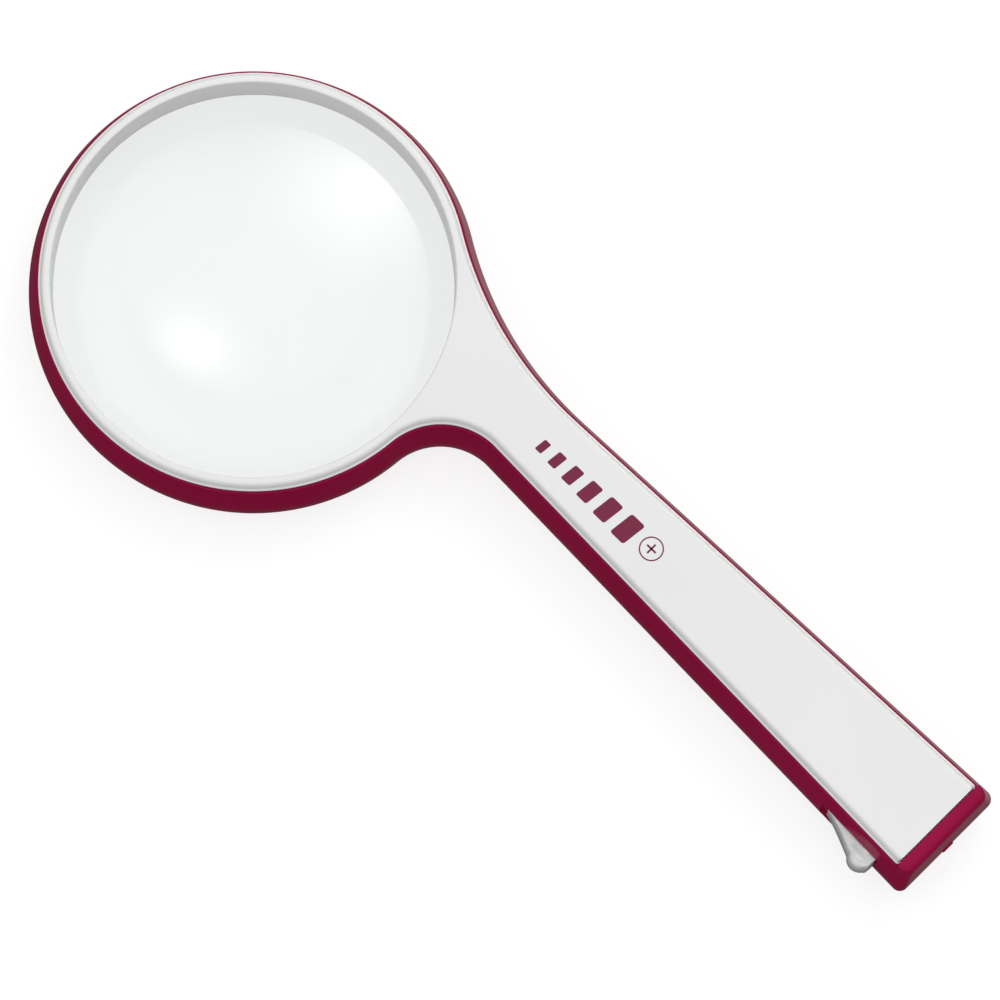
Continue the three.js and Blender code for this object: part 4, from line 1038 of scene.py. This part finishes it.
def thumb_head():
    """The tear drop, in sections from its thin end to its blunt end."""
    rings = []
    span = THUMB_BUTT_END - THUMB_LENS_END
    round_off = 0.4
    count = 60
    for i in range(count + 1):
        x = THUMB_LENS_END + span * math.sin(i / count * math.pi / 2) ** 0.9
        x = min(x, THUMB_BUTT_END - round_off)
        if rings and x - rings[-1][0][0] < 0.01:
            continue
        half = THUMB_HALF_HEIGHT - 0.5 * max(0, (-2 - x) / 4.6) ** 2
        rings.append(thumb_ring(x, thumb_reach(x), half))
    edge_reach = thumb_reach(THUMB_BUTT_END - round_off)
    for i in range(1, 7):
        a = i / 6 * math.pi / 2
        inward = round_off * (1 - math.cos(a))
        x = THUMB_BUTT_END - round_off + round_off * math.sin(a)
        rings.append(thumb_ring(x, edge_reach - inward * 1.6, THUMB_HALF_HEIGHT - inward))
    return skin("thumb_piece", rings, by_switch)


def dish(name, centre, radii, steps=40):
    """A flattened ball that hollows out a flank."""
    rings = [[(centre[0], centre[1], centre[2] - radii[2])]]
    for i in range(1, 16):
        a = -math.pi / 2 + i / 16 * math.pi
        rings.append([(centre[0] + radii[0] * math.cos(a) * math.cos(b),
                       centre[1] + radii[1] * math.cos(a) * math.sin(b),
                       centre[2] + radii[2] * math.sin(a))
                      for b in (2 * math.pi * k / steps for k in range(steps))])
    rings.append([(centre[0], centre[1], centre[2] + radii[2])])
    return skin(name, rings, by_switch)


def silver_plate():
    """Satin silver lacquer with fine polishing lines, a little darker in random clouds."""
    made, tree, shader, place = material("silver_plate", Metallic=0.4)
    drawn = node_in(tree, "ShaderNodeMapping")
    drawn.inputs["Scale"].default_value = (1200.0, 6000.0, 6000.0)
    tree.links.new(place, drawn.inputs["Vector"])
    lines = noise(tree, drawn.outputs["Vector"], 1.0, 2.0)
    cloud = noise(tree, place, 350.0, 4.0)
    tree.links.new(tint(tree, spread(tree, cloud, 0.35, 0.65), (0.74, 0.75, 0.76), (0.84, 0.85, 0.85)),
                   shader.inputs["Base Color"])
    tree.links.new(spread(tree, lines, 0.3, 0.7, 0.20, 0.30), shader.inputs["Roughness"])
    bump(tree, lines, shader, 0.04, 0.00001)
    return made


SILVER_PLATE = silver_plate()
switch_thumb = thumb_head()
carve(
    switch_thumb,
    dish("front_dish", (3.0, -1.0, THUMB_HALF_HEIGHT + 0.30), (3.6, 1.5, 0.62)),
    dish("back_dish", (3.0, -1.0, -THUMB_HALF_HEIGHT - 0.30), (3.6, 1.5, 0.62)),
)
smoothed(switch_thumb, 35)
SWITCH_FRAME = Matrix.Translation(at(SWITCH_X, SWITCH_Y, FLARE_Z)) @ Matrix.Rotation(-TAPER_ANGLE, 4, "Z")
ridge_rows = []
for flank in (-1, 1):
    ridges = grown("thumb_ridges", ROW_OF_BARS, ROW_INPUTS, {
        "Count": THUMB_RIDGES, "First": (2.0 * MM, -0.25 * MM, flank * 2.95 * MM),
        "Step": (THUMB_RIDGE_PITCH * MM, 0, 0), "Size": (0.2 * MM, 1.3 * MM, 0.5 * MM),
        "Finish": SILVER_PLATE,
    })
    ridges.data.transform(SWITCH_FRAME)
    ridge_rows.append(ridges)
stem = bar("stem", (1.7, 4.7), (0.5, 4.4), (-1.0, 1.0), by_switch)
carve(stem, bar("fork", (2.4, 4.0), (3.2, 5.0), (-2.0, 2.0), by_switch))
with_parts(switch_thumb, stem, *ridge_rows)
coated(switch_thumb, SILVER_PLATE)
settle(switch_thumb, "thumb_slide", "silver_plate", "switch_thumb_piece")


def steel():
    """Zinc plated steel: bluish grey with a faint spangle and dull patches."""
    made, tree, shader, place = material("steel", Metallic=1.0)
    cells = node_in(tree, "ShaderNodeTexVoronoi", scale=1500.0)
    tree.links.new(place, cells.inputs["Vector"])
    tree.links.new(tint(tree, cells.outputs["Distance"], (0.40, 0.41, 0.43), (0.56, 0.57, 0.58)),
                   shader.inputs["Base Color"])
    dull = spread(tree, noise(tree, place, 500.0, 4.0), 0.3, 0.7, 0.26, 0.42)
    tree.links.new(dull, shader.inputs["Roughness"])
    bump(tree, cells.outputs["Distance"], shader, 0.1, 0.00002)
    return made


STEEL = steel()
dress(BLACK_PLASTIC, "switch_lever")
dress(STEEL, "switch_housing")
dress(BOARD_GREEN, "switch_board")

# -------------------------------------------------------------------------------------------------- screws
# Three zinc plated thread-forming screws with pan heads and cross recesses. Two stand beside the neck at
# the bottom of their counterbores, and the third is hidden under the door.

HEAD_R = 1.7
HEAD_HEIGHT = 1.5
SHANK_R = 0.88
SCREW_LENGTH = 11


def screw_tree():
    """The same screw at each seat."""
    tree, names, start, end = geometry_tree("screws_at_seats", [("Screw", "Object"), ("Finish", "Material")])
    held = tree.nodes.new("GeometryNodeObjectInfo")
    spots = tree.nodes.new("GeometryNodeInstanceOnPoints")
    tree.links.new(start.outputs["Screw"], held.inputs["Object"])
    tree.links.new(start.outputs["Geometry"], spots.inputs["Points"])
    tree.links.new(held.outputs["Geometry"], spots.inputs["Instance"])
    closing(tree, spots.outputs["Instances"], start.outputs["Finish"], end)
    return tree, names


def unplaced(x, y, z):
    """A point in metres about a pattern's own origin."""
    return Vector((x * MM, y * MM, z * MM))


def one_screw():
    """Head down, with the underside of the head at the origin."""
    head = [(0, -HEAD_HEIGHT), (0.8, -HEAD_HEIGHT), (1.25, -HEAD_HEIGHT + 0.1), (1.52, -HEAD_HEIGHT + 0.3),
            (1.66, -HEAD_HEIGHT + 0.62), (HEAD_R, -HEAD_HEIGHT + 1.0), (HEAD_R, -0.06), (HEAD_R - 0.06, 0)]
    shank = [(SHANK_R, 0)]
    turns = 14
    for i in range(turns):
        z = 0.8 + i * 0.66
        shank += [(SHANK_R - 0.16, z), (SHANK_R, z + 0.2), (SHANK_R, z + 0.28), (SHANK_R - 0.16, z + 0.5)]
    tip = [(0.35, SCREW_LENGTH - 0.35), (0, SCREW_LENGTH)]
    rings = []
    for r, z in head + shank + tip:
        rings.append([(x, y, z) for x, y in bend(0, 0, r, 0, 2 * math.pi, 32)[:-1]] if r else [(0, 0, z)])
    body = skin("one_screw", rings, unplaced)
    for wide, long in ((0.24, 0.95), (0.95, 0.24)):
        low, high = 0.55, 1.0
        carve(body, skin("recess", [
            [(sx * wide * s, sy * long * s, z) for sx, sy in ((-1, -1), (1, -1), (1, 1), (-1, 1))]
            for z, s in ((-HEAD_HEIGHT - 0.3, high), (-HEAD_HEIGHT + 0.8, low))
        ], unplaced))
    return smoothed(body, 32)


pattern_screw = one_screw()
screw_layout, screw_inputs = screw_tree()
screws = grown("cross_head_screws", screw_layout, screw_inputs, {"Screw": pattern_screw, "Finish": STEEL},
               points=[at(x, y, seat) for x, y, seat in SCREW_PLACES])
bpy.data.objects.remove(pattern_screw)
settle(screws, "magnifier", "steel", "screw_1", "screw_2", "screw_3")

# --------------------------------------------------------------------------------------------------- print
# Wine red pad printing on the white face near the neck: a plain row of slanted bars that grow along the
# handle, as a sign for magnification, and a small ring with a plus sign after it.

INK = 0.025
BAR_COUNT = 6
BAR_START_X = 67.4
BAR_PITCH = 3.9
BAR_PITCH_GROWTH = 0.2
BAR_SIZE = (1.7, 2.9, 1.0)
BAR_GROWTH = (0.42, 0.6, 0.0)
BARS_Y = 17.2
BADGE_X = 98.3
BADGE_Y = 17.7
BADGE_R = 2.6
BADGE_LINE = 0.28


def one_bar():
    """A slanted bar, 1 mm wide and 1 mm tall, with rounded corners."""
    slant, corner, stretch = 0.18, 0.10, 1.6
    flat = []
    for cx, cy, start in ((0.5, 0.5, 0), (-0.5, 0.5, 1), (-0.5, -0.5, 2), (0.5, -0.5, 3)):
        x = cx - math.copysign(corner * stretch, cx)
        y = cy - math.copysign(corner, cy)
        for px, py in bend(0, 0, corner, start * math.pi / 2, (start + 1) * math.pi / 2, 6):
            flat.append((x + px * stretch + slant * (y + py), y + py))
    return skin("one_bar", [[(x, y, z) for x, y in flat] for z in (-0.01, INK)], unplaced)


def bars_tree():
    """One bar at each point, each larger than the one before by the same step."""
    tree, names, start, end = geometry_tree("growing_bars", [
        ("Bar", "Object"), ("First", "Vector"), ("Growth", "Vector"), ("Finish", "Material"),
    ])
    held = tree.nodes.new("GeometryNodeObjectInfo")
    spots = tree.nodes.new("GeometryNodeInstanceOnPoints")
    index = tree.nodes.new("GeometryNodeInputIndex")
    times = tree.nodes.new("ShaderNodeVectorMath")
    times.operation = "MULTIPLY"
    plus = tree.nodes.new("ShaderNodeVectorMath")
    plus.operation = "ADD"
    tree.links.new(start.outputs["Bar"], held.inputs["Object"])
    tree.links.new(index.outputs["Index"], times.inputs[0])
    tree.links.new(start.outputs["Growth"], times.inputs[1])
    tree.links.new(times.outputs["Vector"], plus.inputs[0])
    tree.links.new(start.outputs["First"], plus.inputs[1])
    tree.links.new(start.outputs["Geometry"], spots.inputs["Points"])
    tree.links.new(held.outputs["Geometry"], spots.inputs["Instance"])
    tree.links.new(plus.outputs["Vector"], spots.inputs["Scale"])
    closing(tree, spots.outputs["Instances"], start.outputs["Finish"], end)
    return tree, names


def printing_ink():
    """Wine red ink with a slightly uneven, duller film than the plastic."""
    made, tree, shader, place = material("printing_ink", IOR=1.5, Specular_IOR_Level=0.3)
    film = noise(tree, place, 1800.0, 4.0)
    tree.links.new(tint(tree, spread(tree, film, 0.35, 0.65), (0.175, 0.010, 0.045), (0.205, 0.013, 0.055)),
                   shader.inputs["Base Color"])
    tree.links.new(spread(tree, film, 0.3, 0.7, 0.38, 0.50), shader.inputs["Roughness"])
    bump(tree, film, shader, 0.1, 0.00002)
    return made


PRINTING_INK = printing_ink()
pattern_bar = one_bar()
growing_bars, bars_inputs = bars_tree()
bar_spots = [at(BAR_START_X + BAR_PITCH * i + BAR_PITCH_GROWTH * i * i, BARS_Y, FACE_Z)
             for i in range(BAR_COUNT)]
print_bars = grown("print_bars", growing_bars, bars_inputs, {
    "Bar": pattern_bar, "First": BAR_SIZE, "Growth": BAR_GROWTH, "Finish": PRINTING_INK,
}, points=bar_spots)
bpy.data.objects.remove(pattern_bar)
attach(print_bars, "magnifier")

badge = turned("print_badge", [
    (BADGE_R - BADGE_LINE, FACE_Z - 0.01), (BADGE_R, FACE_Z - 0.01), (BADGE_R, FACE_Z + INK),
    (BADGE_R - BADGE_LINE, FACE_Z + INK),
], BADGE_X, BADGE_Y, 72, loop=True)
for half_long, half_wide in ((1.25, 0.2), (0.2, 1.25)):
    with_parts(badge, bar("plus", (BADGE_X - half_long, BADGE_X + half_long),
                          (BADGE_Y - half_wide, BADGE_Y + half_wide), (FACE_Z - 0.01, FACE_Z + INK)))
coated(badge, PRINTING_INK)
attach(badge, "magnifier")

# --------------------------------------------------------------------------------------------------- stage
# A plain pale floor like a light table, a white surround that is dimmer below, brighter again below on the
# far side for mirrored light only, and one large soft lamp beyond the far side of the handle.

FLOOR_HALF = 4.0
LAMP_PLACE = Vector((-0.32, 1.17, 1.34))
LAMP_R = 0.95
LAMP_STRENGTH = 5.0


def light_table():
    """Milky sheet lit faintly from inside. Bounced light passes it, so that it never tints the object."""
    made, tree, shader, place = material("pale_floor", Specular_IOR_Level=0.1, Roughness=0.9)
    fibre = noise(tree, place, 300.0, 4.0)
    tree.links.new(tint(tree, fibre, (0.300, 0.300, 0.300), (0.308, 0.308, 0.308)),
                   shader.inputs["Base Color"])
    shader.inputs["Emission Color"].default_value = (1, 1, 1, 1)
    shader.inputs["Emission Strength"].default_value = 0.78
    clear = tree.nodes.new("ShaderNodeBsdfTransparent")
    path = tree.nodes.new("ShaderNodeLightPath")
    side = tree.nodes.new("ShaderNodeNewGeometry")
    through = reckon(tree, "MAXIMUM", path.outputs["Is Shadow Ray"], path.outputs["Is Diffuse Ray"])
    mirrored = reckon(tree, "SUBTRACT", path.outputs["Is Glossy Ray"], path.outputs["Is Transmission Ray"])
    through = reckon(tree, "MAXIMUM", through, mirrored)
    through = reckon(tree, "MAXIMUM", through, side.outputs["Backfacing"])
    mix = tree.nodes.new("ShaderNodeMixShader")
    tree.links.new(through, mix.inputs["Fac"])
    tree.links.new(shader.outputs["BSDF"], mix.inputs[1])
    tree.links.new(clear.outputs["BSDF"], mix.inputs[2])
    tree.links.new(mix.outputs["Shader"], tree.nodes["Material Output"].inputs["Surface"])
    return made


def soft_lamp():
    """A round diffuser, brightest in the middle and fading to nothing at its edge."""
    made = bpy.data.materials.new("diffuser")
    made.use_nodes = True
    tree = made.node_tree
    tree.nodes.remove(tree.nodes["Principled BSDF"])
    place = tree.nodes.new("ShaderNodeTexCoord").outputs["Object"]
    centred = node_in(tree, "ShaderNodeVectorMath", operation="SUBTRACT")
    centred.inputs[1].default_value = LAMP_PLACE
    tree.links.new(place, centred.inputs[0])
    far = node_in(tree, "ShaderNodeVectorMath", operation="LENGTH")
    tree.links.new(centred.outputs["Vector"], far.inputs[0])
    share = spread(tree, far.outputs["Value"], LAMP_R, 0.0)
    glow = tree.nodes.new("ShaderNodeEmission")
    fading = reckon(tree, "POWER", share, 2.0)
    tree.links.new(reckon(tree, "MULTIPLY", fading, LAMP_STRENGTH), glow.inputs["Strength"])
    both = tree.nodes.new("ShaderNodeAddShader")
    tree.links.new(glow.outputs["Emission"], both.inputs[0])
    tree.links.new(tree.nodes.new("ShaderNodeBsdfTransparent").outputs["BSDF"], both.inputs[1])
    tree.links.new(both.outputs["Shader"], tree.nodes["Material Output"].inputs["Surface"])
    return made


sheet = bmesh.new()
bmesh.ops.create_grid(sheet, x_segments=8, y_segments=8, size=FLOOR_HALF)
stage_floor = keep("floor", sheet)
coated(stage_floor, light_table())

diffuser = bmesh.new()
bmesh.ops.create_circle(diffuser, cap_ends=True, segments=48, radius=LAMP_R)
toward_origin = (-LAMP_PLACE).to_track_quat("Z", "Y").to_matrix().to_4x4()
diffuser.transform(Matrix.Translation(LAMP_PLACE) @ toward_origin)
stage_lamp = keep("soft_lamp", diffuser)
coated(stage_lamp, soft_lamp())
stage_lamp.visible_camera = False

world = bpy.data.worlds.new("surround")
world.use_nodes = True
sky = world.node_tree
toward = sky.nodes.new("ShaderNodeSeparateXYZ")
sky.links.new(sky.nodes.new("ShaderNodeTexCoord").outputs["Generated"], toward.inputs["Vector"])
fill = spread(sky, toward.outputs["Z"], -0.15, 0.6, 0.27, 0.84)
mirrored_fill = spread(sky, toward.outputs["Z"], -0.05, 0.7, 0.06, 0.84)
lit_table = reckon(sky, "MULTIPLY", spread(sky, toward.outputs["Z"], 0.0, -0.2),
                   spread(sky, toward.outputs["Y"], 0.0, 0.4, 0.0, 0.36))
mirrored_fill = reckon(sky, "MAXIMUM", mirrored_fill, lit_table)
in_gloss = node_in(sky, "ShaderNodeMix", data_type="FLOAT")
sky.links.new(sky.nodes.new("ShaderNodeLightPath").outputs["Is Glossy Ray"], in_gloss.inputs["Factor"])
sky.links.new(fill, in_gloss.inputs[2])
sky.links.new(mirrored_fill, in_gloss.inputs[3])
sky.links.new(in_gloss.outputs[0], sky.nodes["Background"].inputs["Strength"])
sky.nodes["Background"].inputs["Color"].default_value = (1, 1, 1, 1)
bpy.context.scene.world = world

CAMERA_PLACE = Vector((0.245602, -0.279855, 1.781157))
CAMERA_RIGHT = Vector((0.70892, 0.70514, 0.01452))
CAMERA_UP = Vector((-0.69202, 0.69145, 0.20740))
CAMERA_BACK = Vector((0.13621, -0.15708, 0.97815))
camera_data = bpy.data.cameras.new("camera")
camera_data.lens = 315
camera_data.sensor_width = 36
camera_data.clip_start, camera_data.clip_end = 0.05, 20
camera = bpy.data.objects.new("camera", camera_data)
camera.matrix_world = Matrix((
    (CAMERA_RIGHT.x, CAMERA_UP.x, CAMERA_BACK.x, CAMERA_PLACE.x),
    (CAMERA_RIGHT.y, CAMERA_UP.y, CAMERA_BACK.y, CAMERA_PLACE.y),
    (CAMERA_RIGHT.z, CAMERA_UP.z, CAMERA_BACK.z, CAMERA_PLACE.z),
    (0, 0, 0, 1),
))
bpy.context.scene.collection.objects.link(camera)
bpy.context.scene.camera = camera
bpy.context.scene.view_settings.view_transform = "Standard"
